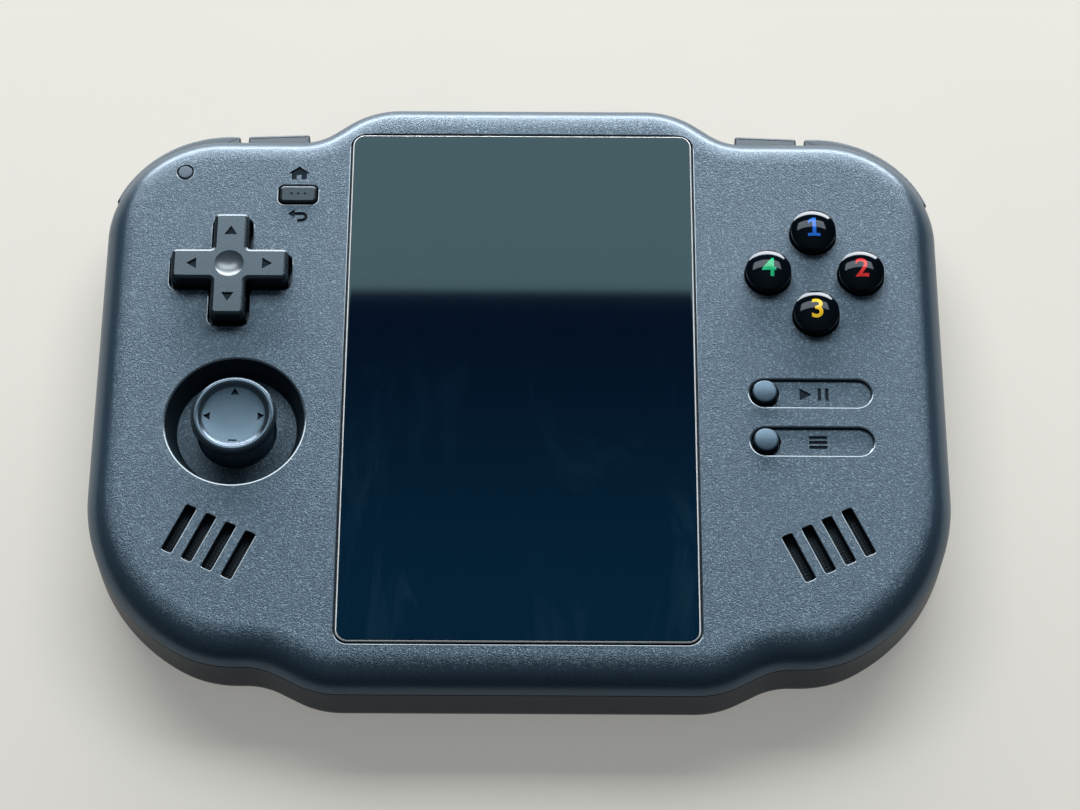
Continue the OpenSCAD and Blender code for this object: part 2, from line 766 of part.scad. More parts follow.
module rear_shell() color("darkslategray") difference() {
  union() {
    difference() {
      loft(concat(bottom_edge(rear_r, 0, 0, 6), [[0, z_seam - seam_groove], [seam_groove, z_seam]]));
      loft(concat(bottom_edge(rear_r - wall, z_floor, wall, 4), [[wall, z_seam + wall]]));
    }
    at_case_screws() lift(wall / 2, z_board_top - over - wall / 2) circle(post_r);
    both_sides() at(bumper_pin_at) lift(wall / 2, z_shoulder - shoulder_drop - wall / 2) circle(bumper_eye_r);
    both_sides() for (s = [-1, 1]) lift(wall / 2, z_board + guide_over - wall / 2)
      translate([trigger_mid + s * (stem_w / 2 + guide_gap + guide_t / 2), guide_front - guide_d / 2])
        square([guide_t, guide_d], center = true);
    translate([0, battery_y]) lift(wall / 2, wall / 2 + battery_t / 2) difference() {
      battery_frame(battery_gap + battery_rib);
      battery_frame(battery_gap);
    }
  }
  both_sides() lift(z_shoulder - shoulder_floor_gap, case_t) shoulder_zone();
  at_case_screws() {
    translate([0, 0, -over]) cylinder(h = case_t, r = screw_r + screw_gap);
    translate([0, 0, -over]) cylinder(h = screw_recess + over, r = screw_head_r + head_gap);
  }
  both_sides() at(bumper_pin_at) translate([0, 0, z_floor])
    cylinder(h = case_t, r = bumper_pin_r + press_gap);
  along_y(head_y - 3 * wall, head_y + wall) translate([0, z_board - usb_h / 2])
    rounded(usb_w + 2 * socket_gap, usb_h + 2 * socket_gap, usb_h / 2);
  translate([jack_x, head_y + wall, z_jack]) rotate([90, 0, 0])
    cylinder(h = 3 * wall, r = jack_nose_r + jack_nose_gap);
  for (x = side_key_x) along_y(head_y - 3 * wall, head_y + wall) translate([x, z_side_key])
    rounded(side_key_w + 2 * key_gap, side_key_h + 2 * key_gap, side_key_r + key_gap);
  translate([half_w - 2 * wall, card_y, z_board - card_t / 2])
    rotate([90, 0, 90]) linear_extrude(3 * wall)
      rounded(card_w + card_wall, card_slot_h + 2 * card_mouth, 2 * card_mouth);
}

// Screen

module screen_glass() color("black")
  lift(z_face + glass_proud - glass_t, glass_t) rounded(glass_w, glass_h, glass_r);

module screen_adhesive() color("dimgray") lift(z_ledge, tape_t) difference() {
  rounded(glass_w - 2 * tape_in, glass_h - 2 * tape_in, glass_r);
  rounded(window_w + 2 * tape_gap, window_h + 2 * tape_gap, window_r);
}

module display_panel() color("darkslategray")
  lift(z_panel, panel_t) square([window_w - 2 * panel_gap, window_h - 2 * panel_gap], center = true);

module display_ribbon() color("orange") translate([0, -window_h / 2 + ribbon_in])
  lift(z_board_top, z_panel - z_board_top) square([ribbon_w, ribbon_t], center = true);

// Board, battery and screws

module board_plan() difference() {
  union() {
    intersection() {
      polygon(outline(wall + board_gap));
      union() {
        translate([-board_side, board_wing_y]) square([2 * board_side, board_shoulder_y - board_wing_y]);
        translate([-board_neck_x, chin_y]) square([2 * board_neck_x, board_head_y - chin_y]);
      }
    }
    translate([-board_shoulder_x, 0]) square([2 * board_shoulder_x, board_top_y]);
  }
  at(stick_at) square(housing_w + 2 * part_gap, center = true);
  for (p = board_screw_at) at(p) circle(screw_r + screw_gap);
}

module main_board() color("seagreen") lift(z_board, board_t) board_plan();

module screw(z_seat, length) {
  translate([0, 0, z_seat]) cylinder(h = length, r = screw_r);
  translate([0, 0, z_seat - screw_head_t]) difference() {
    cylinder(h = screw_head_t, r = screw_head_r);
    translate([0, 0, -over]) lift(0, screw_head_t / 2) cross(2 * screw_r, drive_w, drive_r);
  }
}

module board_screws() color("silver")
  for (p = board_screw_at) at(p) screw(z_board, board_t + screw_grip - over);

module case_screws() color("silver")
  at_case_screws() screw(screw_recess, z_board_top + screw_grip - over - screw_recess);

module battery_frame(d) rounded(battery_w + 2 * d, battery_h + 2 * d, battery_r);

module battery() color("lightgray") translate([0, battery_y]) lift(z_floor, battery_t) battery_frame(0);

module battery_plug() color("ivory") translate([battery_w / 2 - plug_in, battery_y + plug_up])
  lift(z_floor + battery_t, z_board - z_floor - battery_t) square([plug_w, plug_h], center = true);

module shield_can() color("silver")
  translate([shield_x, battery_y + battery_h / 2 + shield_gap + shield_h / 2])
    lift(z_board - shield_t, shield_t) rounded(shield_w, shield_h, shield_r);

// Direction pad

// Arrow one unit wide
module pad_arrow() polygon([[0, 0.44], [0.5, -0.32], [-0.5, -0.32]]);

module d_pad() color("dimgray") at(pad_at) difference() {
  dish_r = (pow(pad_dish_d / 2, 2) + pow(pad_dish, 2)) / (2 * pad_dish);
  union() {
    lift(z_pad_flange, pad_flange_t) circle(pad_flange_r);
    lift(z_pad_flange, z_face + pad_rise - z_pad_flange) cross(pad_span, pad_arm_w, pad_corner_r);
  }
  translate([0, 0, z_face + pad_rise - pad_dish + dish_r]) sphere(dish_r);
  translate([0, 0, z_pivot]) sphere(pivot_r + run_gap);
  for (a = [0 : 90 : 270]) rotate(a) translate([0, pad_span / 2 - pad_arrow_in, 0])
    lift(z_face + pad_rise - mark_deep, wall) scale(pad_arrow_w) pad_arrow();
}

module d_pad_pivot() color("silver") at(pad_at) translate([0, 0, z_pivot]) sphere(pivot_r);

module d_pad_seat() color("dimgray") at(pad_at) difference() {
  lift(z_board_top, z_pivot - z_board_top - pivot_seat) circle(pivot_r + seat_wall);
  translate([0, 0, z_pivot]) sphere(pivot_r + run_gap);
}

module d_pad_membrane() color("gainsboro") at(pad_at) {
  lift(z_board_top, sheet_t) difference() {
    square(2 * (pad_flange_r - pad_sheet_in), center = true);
    circle(pivot_r + seat_wall + board_clear);
  }
  for (a = [0 : 90 : 270]) rotate(a) translate([pad_dome_at, 0, z_board_top + sheet_t])
    cylinder(h = z_pad_flange - z_board_top - sheet_t, r1 = pad_dome_r, r2 = pad_dome_top_r);
}

// Keys

module face_button(a) color("black") at(face_at) rotate(a) translate([face_pitch, 0, 0]) {
  crown_r = (pow(face_d / 2, 2) + pow(face_crown, 2)) / (2 * face_crown);
  z_top = z_face + face_rise;
  translate([0, 0, z_key]) cylinder(h = flange_t, r = face_d / 2 + flange_w);
  intersection() {
    translate([0, 0, z_key]) cylinder(h = z_top - z_key + over, r = face_d / 2);
    translate([0, 0, z_top - crown_r]) sphere(crown_r, $fn = 96);
  }
}

module face_button_top() face_button(90);
module face_button_right() face_button(0);
module face_button_bottom() face_button(270);
module face_button_left() face_button(180);

module dome(z_top) translate([0, 0, z_board_top + sheet_t])
  cylinder(h = z_top - z_board_top - sheet_t, r1 = dome_r, r2 = dome_top_r);

module face_button_membrane() color("gainsboro") at(face_at) {
  lift(z_board_top, sheet_t) square(2 * (face_pitch + dome_rim), center = true);
  for (a = [0 : 90 : 270]) rotate(a) translate([face_pitch, 0, 0]) dome(z_key);
}

module round_key(i) color("dimgray") at(start_at - [0, i * start_pitch]) {
  translate([0, 0, z_key]) cylinder(h = flange_t, r = start_d / 2 + flange_w);
  translate([0, 0, z_key]) cylinder(h = z_face + start_rise - z_key, r = start_d / 2);
}

module start_button() round_key(0);
module select_button() round_key(1);

module start_select_membrane() color("gainsboro") at(start_at) {
  lift(z_board_top, sheet_t) translate([0, -start_pitch / 2])
    square([2 * dome_rim, start_pitch + 2 * dome_rim], center = true);
  for (i = [0, 1]) translate([0, -i * start_pitch, 0]) dome(z_key);
}

module function_button() color("slategray") at(function_at) {
  lift(z_key, flange_t) rounded(function_w + 2 * flange_w, function_h + 2 * flange_w, function_r);
  lift(z_key, z_face + function_rise - z_key) rounded(function_w, function_h, function_r);
}

module function_switch() color("silver") at(function_at) {
  lift(z_board_top, function_switch_t) square([function_switch_w, function_switch_d], center = true);
  lift(z_board_top, z_key - z_board_top - switch_gap) circle(function_tip_r);
}

// Thumb stick

module stick_cap() color("dimgray") at(stick_at) difference() {
  sleeve_r = lever_r + sleeve_wall;
  z_sleeve = z_stick + skirt_r - sleeve_l;
  z_under = z_cap - cap_t;
  union() {
    rotate_extrude() polygon([
      [0, z_sleeve], [sleeve_r, z_sleeve], [sleeve_r, z_under], [cap_r - cap_under, z_under + cap_under_rise],
      [cap_r, z_under + cap_side_low], [cap_r, z_cap - cap_side_top],
      [cap_r - cap_edge, z_cap - cap_edge_drop], [cap_r - cap_rim, z_cap],
      [cap_r - cap_inner, z_cap - cap_inner_drop],
      [cap_r - cap_slope, z_cap - cap_dish * cap_slope_share], [0, z_cap - cap_dish]]);
    intersection() {
      difference() {
        translate([0, 0, z_stick]) sphere(skirt_r);
        translate([0, 0, z_stick]) sphere(skirt_r - skirt_t);
      }
      translate([0, 0, z_stick + skirt_low]) cylinder(h = skirt_r, r = 2 * skirt_r);
    }
  }
  translate([0, 0, z_stick]) cylinder(h = z_under + lever_in + over - z_stick, r = lever_r + press_gap);
}

module stick_lever() color("silver") at(stick_at) {
  translate([0, 0, z_stick]) cylinder(h = z_cap - cap_t + lever_in - z_stick, r = lever_r);
  translate([0, 0, z_stick]) sphere(lever_r + lever_ball);
  along_y(-gimbal_l / 2, gimbal_l / 2) translate([0, z_stick]) circle(cross_pin_r);
}

module stick_gimbal() color("gainsboro") at(stick_at) translate([0, 0, z_stick]) difference() {
  union() {
    cube([gimbal_w, gimbal_l, gimbal_t], center = true);
    rotate([0, 90, 0]) cylinder(h = gimbal_w + 2 * (post_gap + post_t), r = trunnion_r, center = true);
  }
  cube([gimbal_w - 2 * (gimbal_wall - over), gimbal_l - 2 * gimbal_wall, 2 * gimbal_t], center = true);
  rotate([90, 0, 0]) cylinder(h = 2 * gimbal_l, r = cross_pin_r + run_gap, center = true);
}

module stick_carriage() color("dimgray") at(stick_at) difference() {
  union() {
    lift(z_stick - plate_drop, plate_t) square(2 * (stick_room - plate_gap), center = true);
    both_sides() translate([gimbal_w / 2 + post_gap, -post_w / 2, z_stick - plate_drop])
      cube([post_t, post_w, plate_drop + post_over]);
  }
  translate([0, 0, z_stick]) rotate([0, 90, 0])
    cylinder(h = housing_w, r = trunnion_r + run_gap, center = true);
}

module stick_spring() color("silver") at(stick_at)
  lift(z_stick - plate_drop - spring_t, spring_t) difference() {
    circle(spring_r);
    circle(spring_bore_r);
  }

module stick_housing() color("gray") at(stick_at) difference() {
  z_base = z_stick - plate_drop - spring_t - housing_base;
  union() {
    lift(z_base, z_board_top + ear_t - z_base) square(housing_w, center = true);
    lift(z_board_top, ear_t) rotate(45) {
      square([2 * ear_at * sqrt(2), 2 * boss_r], center = true);
      for (s = [-1, 1]) translate([s * ear_at * sqrt(2), 0]) circle(boss_r);
    }
  }
  lift(z_stick - plate_drop - spring_t, case_t) square(2 * stick_room, center = true);
  for (s = [-1, 1]) translate([s * ear_at, s * ear_at, 0]) cylinder(h = case_t, r = screw_r + screw_gap);
}

// Shoulder buttons, drawn for the right side

module bumper_plan() {
  outer = [for (i = [0 : 12]) let (t = i / 12, a = bumper_end + t * (90 - bumper_end))
    upper_c + (upper_r + bumper_side_out + t * (bumper_out - bumper_side_out)) * [cos(a), sin(a)]];
  polygon(concat(outer,
    [[bumper_in_x, wing_top + bumper_out], [bumper_in_x, shoulder_back]],
    arc(upper_c, upper_r - shoulder_in, 90, bumper_end, 12)));
  translate(bumper_pin_at) circle(bumper_eye_r);
}

module bumper() color("dimgray") {
  difference() {
    lift(z_shoulder, shoulder_h) bumper_plan();
    at(bumper_pin_at) cylinder(h = case_t, r = bumper_pin_r + run_gap);
  }
  lift(z_board - stem_h, stem_h) translate([nub_at - nub_w / 2, hook_front - hook_t])
    square([nub_w, shoulder_back - hook_front + hook_t + over]);
}

module right_bumper() bumper();
module left_bumper() mirror([1, 0, 0]) bumper();

module trigger() color("dimgray") {
  lift(z_shoulder, shoulder_h) polygon([
    [trigger_x[0], shoulder_back], [trigger_x[1], shoulder_back],
    [trigger_x[1], wing_top + trigger_out], [trigger_x[0], wing_top + trigger_out + trigger_slant]]);
  lift(z_board - stem_h, stem_h) {
    translate([trigger_mid - stem_w / 2, hook_front - hook_t])
      square([stem_w, shoulder_back - hook_front + hook_t + over]);
    translate([trigger_mid - stem_w / 2 - guide_gap - guide_t / 2, hook_front - hook_t])
      square([stem_w + 2 * guide_gap + guide_t, hook_t]);
  }
}

module right_trigger() trigger();
module left_trigger() mirror([1, 0, 0]) trigger();

module bumper_pins() color("silver") both_sides() at(bumper_pin_at)
  translate([0, 0, z_floor]) cylinder(h = z_shoulder + shoulder_h - over - z_floor, r = bumper_pin_r);

module shoulder_switches() color("silver") both_sides() for (x = [trigger_mid, nub_at]) {
  translate([x - switch_w / 2, board_top_y - switch_seat, z_board - switch_h])
    cube([switch_w, switch_d + switch_seat - switch_back, switch_h]);
  along_y(board_top_y, switch_tip) translate([x, z_board - switch_h / 2]) circle(switch_tip_r);
}

// Speakers and indicator

module right_speaker() color("dimgray") at(slots_at)
  lift(z_ceiling - mesh_t - speaker_t, speaker_t) speaker_plan();
module left_speaker() mirror([1, 0, 0]) right_speaker();

module right_speaker_mesh() color("black") at(slots_at) lift(z_ceiling - mesh_t, mesh_t) speaker_plan();
module left_speaker_mesh() mirror([1, 0, 0]) right_speaker_mesh();

module indicator_light_guide() color("white") {
  foot = [pad_at[0] - guide_foot_in, board_top_y - guide_foot_drop];
  way = foot - led_at;
  z_bar = z_ceiling - flange_gap - guide_bar_t;
  at(led_at) {
    translate([0, 0, z_bar]) cylinder(h = z_face - z_bar, r = led_r);
    translate([0, 0, z_bar]) cylinder(h = guide_bar_t, r = led_r + flange_w);
    rotate(atan2(way[1], way[0])) translate([0, -guide_bar_w / 2, z_bar])
      cube([norm(way), guide_bar_w, guide_bar_t]);
  }
  at(foot) lift(z_board_top + part_gap, z_bar + guide_bar_t - z_board_top - part_gap) circle(guide_foot_r);
}

// Sockets and side keys

module usb_socket() color("silver") difference() {
  along_y(usb_front - usb_l, usb_front) translate([0, z_board - usb_h / 2])
    rounded(usb_w, usb_h, usb_h / 2 - sliver);
  difference() {
    along_y(usb_front - usb_l + usb_back_t, usb_front + over) translate([0, z_board - usb_h / 2])
      rounded(usb_w - 2 * usb_shell_t, usb_h - 2 * usb_shell_t, usb_h / 2 - usb_shell_t - sliver);
    along_y(usb_front - usb_l, usb_front - usb_tongue_in) translate([0, z_board - usb_h / 2])
      square([usb_tongue_w, usb_tongue_t], center = true);
  }
}

module headphone_socket() color("dimgray") difference() {
  union() {
    translate([jack_x - jack_w / 2, jack_front - jack_l - jack_wall, z_board - jack_h])
      cube([jack_w, jack_l + jack_wall - jack_nose_l, jack_h]);
    translate([jack_x, jack_front, z_jack]) rotate([90, 0, 0]) cylinder(h = jack_l / 2, r = jack_nose_r);
  }
  translate([jack_x, jack_front + over, z_jack]) rotate([90, 0, 0]) cylinder(h = jack_l + over, r = jack_r);
}

module card_reader() color("silver") difference() {
  translate([half_w - card_reach, card_y - card_w / 2 - card_wall, z_board - card_t])
    cube([card_reach - card_in, card_w + 2 * card_wall, card_t]);
  translate([half_w - card_deep, card_y - card_w / 2 - card_gap, z_board - card_t / 2 - card_slot_h / 2])
    cube([card_deep, card_w + 2 * card_gap, card_slot_h]);
}

module side_key(x) color("slategray") {
  along_y(side_key_back, head_y + side_key_out) translate([x, z_side_key])
    rounded(side_key_w, side_key_h, side_key_r);
  along_y(side_key_back, side_key_back + flange_t) translate([x, z_side_key])
    rounded(side_key_w + 2 * flange_w, side_key_h + 2 * flange_w - side_flange_cut, side_key_r);
}

module power_button() side_key(side_key_x[0]);
module volume_up_button() side_key(side_key_x[1]);
module volume_down_button() side_key(side_key_x[2]);

module side_switches() color("silver") for (x = side_key_x) {
  tip = side_key_back - side_key_travel - over;
  translate([x - side_switch_w / 2, board_head_y - side_switch_d, z_board - side_switch_h])
    cube([side_switch_w, side_switch_d, side_switch_h]);
  along_y(board_head_y - over, tip) translate([x, z_side_key]) circle(side_tip_r);
}

front_shell();
rear_shell();
screen_glass();
screen_adhesive();
display_panel();
display_ribbon();
main_board();
board_screws();
case_screws();
battery();
battery_plug();
shield_can();
d_pad();
d_pad_pivot();
d_pad_seat();
d_pad_membrane();
face_button_top();
face_button_right();
face_button_bottom();
face_button_left();
face_button_membrane();
start_button();
select_button();
start_select_membrane();
function_button();
function_switch();
stick_cap();
stick_lever();
stick_gimbal();
stick_carriage();
stick_spring();
stick_housing();
left_bumper();
right_bumper();
left_trigger();
right_trigger();
bumper_pins();
shoulder_switches();
left_speaker();
right_speaker();
left_speaker_mesh();
right_speaker_mesh();
indicator_light_guide();
usb_socket();
headphone_socket();
card_reader();
power_button();
volume_up_button();
volume_down_button();
side_switches();
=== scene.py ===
"""Looks of a handheld game console: its moulded pieces, keys and finishes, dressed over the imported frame."""
import math

import bmesh
import bpy
from mathutils import Matrix, Vector


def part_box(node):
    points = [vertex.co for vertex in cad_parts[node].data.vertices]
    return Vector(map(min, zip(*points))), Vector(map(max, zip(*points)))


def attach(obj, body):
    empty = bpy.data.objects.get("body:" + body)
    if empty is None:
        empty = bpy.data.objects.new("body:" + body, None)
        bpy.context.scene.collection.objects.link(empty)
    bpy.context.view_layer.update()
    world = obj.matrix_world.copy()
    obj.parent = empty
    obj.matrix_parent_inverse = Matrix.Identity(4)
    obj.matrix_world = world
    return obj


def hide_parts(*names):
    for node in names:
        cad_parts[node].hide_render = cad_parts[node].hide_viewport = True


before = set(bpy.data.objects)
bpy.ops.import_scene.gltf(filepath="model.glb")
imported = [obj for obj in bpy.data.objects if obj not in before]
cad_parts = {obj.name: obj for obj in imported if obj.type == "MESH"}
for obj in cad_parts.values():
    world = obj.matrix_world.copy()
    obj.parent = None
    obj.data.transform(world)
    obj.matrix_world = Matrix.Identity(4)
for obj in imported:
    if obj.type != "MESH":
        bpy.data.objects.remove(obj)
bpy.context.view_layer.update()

# Front shell. The shallow lid of the case, moulded in one shot from ABS with a little mica in it, in a
# spark-eroded tool that leaves a fine grain. A broad round edge runs down to the seam, and the screen's
# pocket, the key openings, the stick's well and the speaker slots break through its flat face.
MM = 0.001


def box_mm(node):
    """Lowest and highest corner of a frame node, in millimetres."""
    return [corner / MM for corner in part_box(node)]


def middle_mm(node):
    """Middle of a frame node's box, in millimetres."""
    low, high = box_mm(node)
    return (low + high) / 2


def arc(centre, radius, start, end, steps):
    """Points of an arc from start to end, in degrees."""
    turns = [math.radians(start + (end - start) * i / steps) for i in range(steps + 1)]
    return [Vector((centre[0] + radius * math.cos(a), centre[1] + radius * math.sin(a))) for a in turns]


def rounded(centre, width, height, radius, steps=8):
    """Plan of a rectangle with round corners."""
    x, y = width / 2 - radius, height / 2 - radius
    corners = ((x, y, 0), (-x, y, 90), (-x, -y, 180), (x, -y, 270))
    return [p for dx, dy, turn in corners
            for p in arc((centre[0] + dx, centre[1] + dy), radius, turn, turn + 90, steps)]


def inset(plan, depth):
    """The plan with every edge moved inwards by depth; a negative depth moves it outwards."""
    moved = []
    for before, point, after in zip(plan[-1:] + plan[:-1], plan, plan[1:] + plan[:1]):
        a, b = (point - before).normalized(), (after - point).normalized()
        moved.append(point + Vector((-a.y - b.y, a.x + b.x)) * depth / (1 + a.dot(b)))
    return moved


def place(name, mesh):
    """Puts a mesh in the scene as an object at the origin."""
    made = bpy.data.objects.new(name, mesh)
    bpy.context.scene.collection.objects.link(made)
    return made


def skin(name, rings):
    """A closed solid through rings of equally many points, from the bottom up, in millimetres."""
    n = len(rings[0])
    points = [Vector(p) * MM for ring in rings for p in ring]
    faces = [tuple(reversed(range(n))), tuple(range(len(points) - n, len(points)))]
    for low in range(0, len(points) - n, n):
        faces += [(low + i, low + (i + 1) % n, low + n + (i + 1) % n, low + n + i) for i in range(n)]
    mesh = bpy.data.meshes.new(name)
    mesh.from_pydata(points, [], faces)
    return place(name, mesh)


def loft(name, plan, levels):
    """A solid on a plan, with a ring for each level, given as (inset, height)."""
    return skin(name, [[(*p, z) for p in inset(plan, depth)] for depth, z in levels])


def turned(name, centre, profile, steps=64):
    """A solid turned about an upright axis, from a profile of (radius, height)."""
    last = 360 - 360 / steps
    return skin(name, [[(*p, z) for p in arc(centre, r, 0, last, steps - 1)] for r, z in profile])


def round_top(radius, top, start=0.0, steps=6):
    """Levels of a rounded upper edge that ends at a height, from the bottom up."""
    turns = [math.pi / 2 * i / steps for i in range(steps + 1)]
    return [(start + radius * (1 - math.cos(a)), top - radius * (1 - math.sin(a))) for a in turns]


def round_bottom(radius, bottom, start=0.0, steps=6):
    """Levels of a rounded lower edge that begins at a height, from the bottom up."""
    return [(depth, 2 * bottom - z) for depth, z in reversed(round_top(radius, bottom, start, steps))]


def broad_top(height, width, depth, top, steps=24):
    """Levels of a broad elliptic upper edge that is cut off at a depth, from the bottom up."""
    first = math.asin(1 - depth / height)
    turns = [first + (math.pi / 2 - first) * i / steps for i in range(steps + 1)]
    return [(width * (math.cos(first) - math.cos(a)), top - height * (1 - math.sin(a))) for a in turns]


lip_leans = math.radians(35), math.radians(11)
well_lip, edge_lip, key_lip, recess_lip, small_lip, slot_lip = 0.34, 0.16, 0.12, 0.26, 0.08, 0.11


def lip(width, top):
    """Levels of a cutter that flares at a height into a narrow lip in two slopes, with room above it."""
    steep, slight = (0.4 * width * math.tan(lip_leans[0]), 0.6 * width * math.tan(lip_leans[1]))
    return [(0, top - slight - steep), (-0.4 * width, top - slight), (-width, top), (-width, top + 1)]


def settle(piece):
    """Replaces a piece's mesh by what its modifiers make of it."""
    shown = piece.evaluated_get(bpy.context.evaluated_depsgraph_get())
    mesh = bpy.data.meshes.new_from_object(shown)
    piece.modifiers.clear()
    piece.data = mesh
    return piece


def carve(piece, tools, how="DIFFERENCE"):
    """Cuts the tools out of a piece, or joins them to it, and clears them away."""
    for tool in tools:
        change = piece.modifiers.new("carve", "BOOLEAN")
        change.object, change.operation, change.solver = tool, how, "EXACT"
    settle(piece)
    for tool in tools:
        bpy.data.objects.remove(tool)
    return piece


def engrave(plan, top, depth):
    """A cutter for a mark engraved with slightly leaning sides."""
    return loft("mark", plan, [(depth / 4, top - depth), (0, top), (0, top + 1)])


def s_bend(step, bend_r, dip_r, slope):
    """Length of an S-shaped step along the edge, between the centres of its two arcs."""
    lean = math.radians(slope)
    reach = bend_r + dip_r
    return reach * math.sin(lean) + (step - reach * (1 - math.cos(lean))) / math.tan(lean)


rear_low, rear_high = box_mm("rear_shell")
half_w, head_y, chin_y, seam_z = rear_high.x, rear_high.y, rear_low.y, rear_high.z
face_z = box_mm("front_shell")[1].z
wall, edge_r, face_edge_h, face_edge_w = 1.8, 0.25, 5.6, 6.2
upper_r, lower_r, lower_side_r, lower_split = 18.5, 18.2, 30.5, 60
head_flat, head_bend_r, head_dip_r, head_slope, head_step = 41.0, 15.0, 9.4, 36, 6.4
chin_flat, chin_bend_r, chin_dip_r, chin_slope, chin_step = 55.0, 15.0, 11.6, 27, 4.45
wing_top, wing_bottom = head_y - head_step, chin_y + chin_step
head_end = head_flat / 2 + s_bend(head_step, head_bend_r, head_dip_r, head_slope)
chin_end = chin_flat / 2 + s_bend(chin_step, chin_bend_r, chin_dip_r, chin_slope)
corner_grow = lower_side_r - lower_r
split_x, split_y = math.cos(math.radians(lower_split)), math.sin(math.radians(lower_split))
side_c = Vector((half_w - lower_side_r, wing_bottom + lower_r + corner_grow * split_y))
low_c = side_c + corner_grow * Vector((split_x, -split_y))
upper_c = Vector((half_w - upper_r, wing_top - upper_r))
right_edge = (
    arc((chin_flat / 2, chin_y + chin_bend_r), chin_bend_r, -90, chin_slope - 90, 10)
    + arc((chin_end, wing_bottom - chin_dip_r), chin_dip_r, chin_slope + 90, 90, 10)
    + arc(low_c, lower_r, -90, -lower_split, 12)
    + arc(side_c, lower_side_r, -lower_split, 0, 28)[1:]
    + arc(upper_c, upper_r, 0, 90, 36)
    + arc((head_end, wing_top + head_dip_r), head_dip_r, 270, 270 - head_slope, 12)
    + arc((head_flat / 2, head_y - head_bend_r), head_bend_r, 90 - head_slope, 90, 12)
)
case_plan = right_edge + [Vector((-p.x, p.y)) for p in reversed(right_edge)]

front_shell = loft("front_shell_lid", case_plan, round_bottom(edge_r, seam_z, steps=10)
                   + broad_top(face_edge_h, face_edge_w, face_z - seam_z - edge_r - 0.05, face_z)
                   + [(face_edge_w + 0.3, face_z)])
front_void = loft("void", case_plan, [(wall, seam_z - 1)] + round_top(2.2, face_z - wall, wall))
carve(front_shell, [front_void])

stick_c = middle_mm("stick_cap")
well_r, well_floor, well_lean, well_t, skirt_hole_r = 11.1, 12.0, 1.2, 0.9, 6.4
carve(front_shell, [turned("well_wall", stick_c, [(well_r + well_t, well_floor - 1),
                                                  (well_r + well_t, face_z - well_t)])], "UNION")
well_foot = [(well_lean + 0.75, 0), (well_lean + 0.3, 0.1), (well_lean + 0.08, 0.35),
             (well_lean * 0.92, 0.75)]
well_levels = [(depth, well_floor + up) for depth, up in well_foot] + lip(well_lip, face_z)
skirt_hole = [(skirt_hole_r, well_floor - 2), (skirt_hole_r, well_floor + 1)]
stick_well = [turned("well", stick_c, [(well_r - depth, z) for depth, z in well_levels], 128),
              turned("skirt_hole", stick_c, skirt_hole, 96)]

glass_low, glass_high = box_mm("screen_glass")
glass_w, glass_h, glass_r = glass_high.x - glass_low.x, glass_high.y - glass_low.y, 2.0
pocket_gap, ledge = 0.3, 1.8
pocket_floor = box_mm("screen_adhesive")[0].z
pocket_plan = rounded((0, 0), glass_w + 2 * pocket_gap, glass_h + 2 * pocket_gap, glass_r + pocket_gap, 12)
screen_pocket = [loft("pocket", pocket_plan, [(0, pocket_floor)] + lip(edge_lip, face_z)),
                 loft("window", rounded((0, 0), glass_w - 2 * ledge, glass_h - 2 * ledge, glass_r),
                      [(0, face_z - 4), (0, face_z)])]


def cross(centre, span, arm, corner_r, inner_r):
    """Plan of the direction pad's cross."""
    a, b = span / 2, arm / 2
    quarter = (arc((a - corner_r, b - corner_r), corner_r, 0, 90, 10)
               + arc((b + inner_r, b + inner_r), inner_r, 270, 180, 10)
               + arc((b - corner_r, a - corner_r), corner_r, 0, 90, 10))
    turns = [Matrix.Rotation(math.radians(90 * k), 2) for k in range(4)]
    return [Vector(centre[:2]) + turn @ p for turn in turns for p in quarter]


pad_c = middle_mm("d_pad")
pad_span, pad_arm, pad_corner_r, pad_gap = 18.9, 5.6, 0.9, 0.55
inside_z = face_z - wall - 0.6
pad_plan = cross(pad_c, pad_span, pad_arm, pad_corner_r, 0.5)
key_names = ["face_button_top", "face_button_right", "face_button_bottom", "face_button_left"]
key_hole_r, small_hole_r = 3.86, 2.36
small_names = ["start_button", "select_button"]
recess_l, recess_w, recess_depth, recess_start = 19.6, 4.9, 0.5, -2.45
function_c = middle_mm("function_button")
function_w, function_h, function_r, function_gap = 6.1, 3.2, 0.8, 0.25
guide_c = Vector((-55.95, 38.2))
guide_hole_r = 1.4


def hole(centre, radius, top=face_z, lip_w=key_lip):
    """A cutter for a round key's opening, with a small lip."""
    return turned("hole", centre, [(radius - d, z) for d, z in [(0, inside_z)] + lip(lip_w, top)])


pad_opening = cross(pad_c, pad_span + 2 * pad_gap, pad_arm + 2 * pad_gap, pad_corner_r + pad_gap, 0.4)
key_openings = [loft("pad_opening", pad_opening, [(0, inside_z)] + lip(edge_lip, face_z))]
key_openings += [hole(middle_mm(name), key_hole_r) for name in key_names]
key_openings += [hole(guide_c, guide_hole_r)]
function_plan = rounded(function_c, function_w + 2 * function_gap, function_h + 2 * function_gap,
                        function_r + function_gap, 12)
key_openings += [loft("function_opening", function_plan, [(0, inside_z)] + lip(edge_lip, face_z))]
recess_z = face_z - recess_depth
for name in small_names:
    at = middle_mm(name)
    pill = rounded((at.x + recess_start + recess_l / 2, at.y), recess_l, recess_w, recess_w / 2 - 0.01, 14)
    key_openings += [loft("recess", pill, [(0.12, recess_z)] + lip(recess_lip, face_z)),
                     hole(at, small_hole_r, recess_z, small_lip)]


def scaled(points, size, centre):
    """A mark's plan, drawn one unit wide, at its real size and place."""
    return [Vector((centre[0] + x * size, centre[1] + y * size)) for x, y in points]


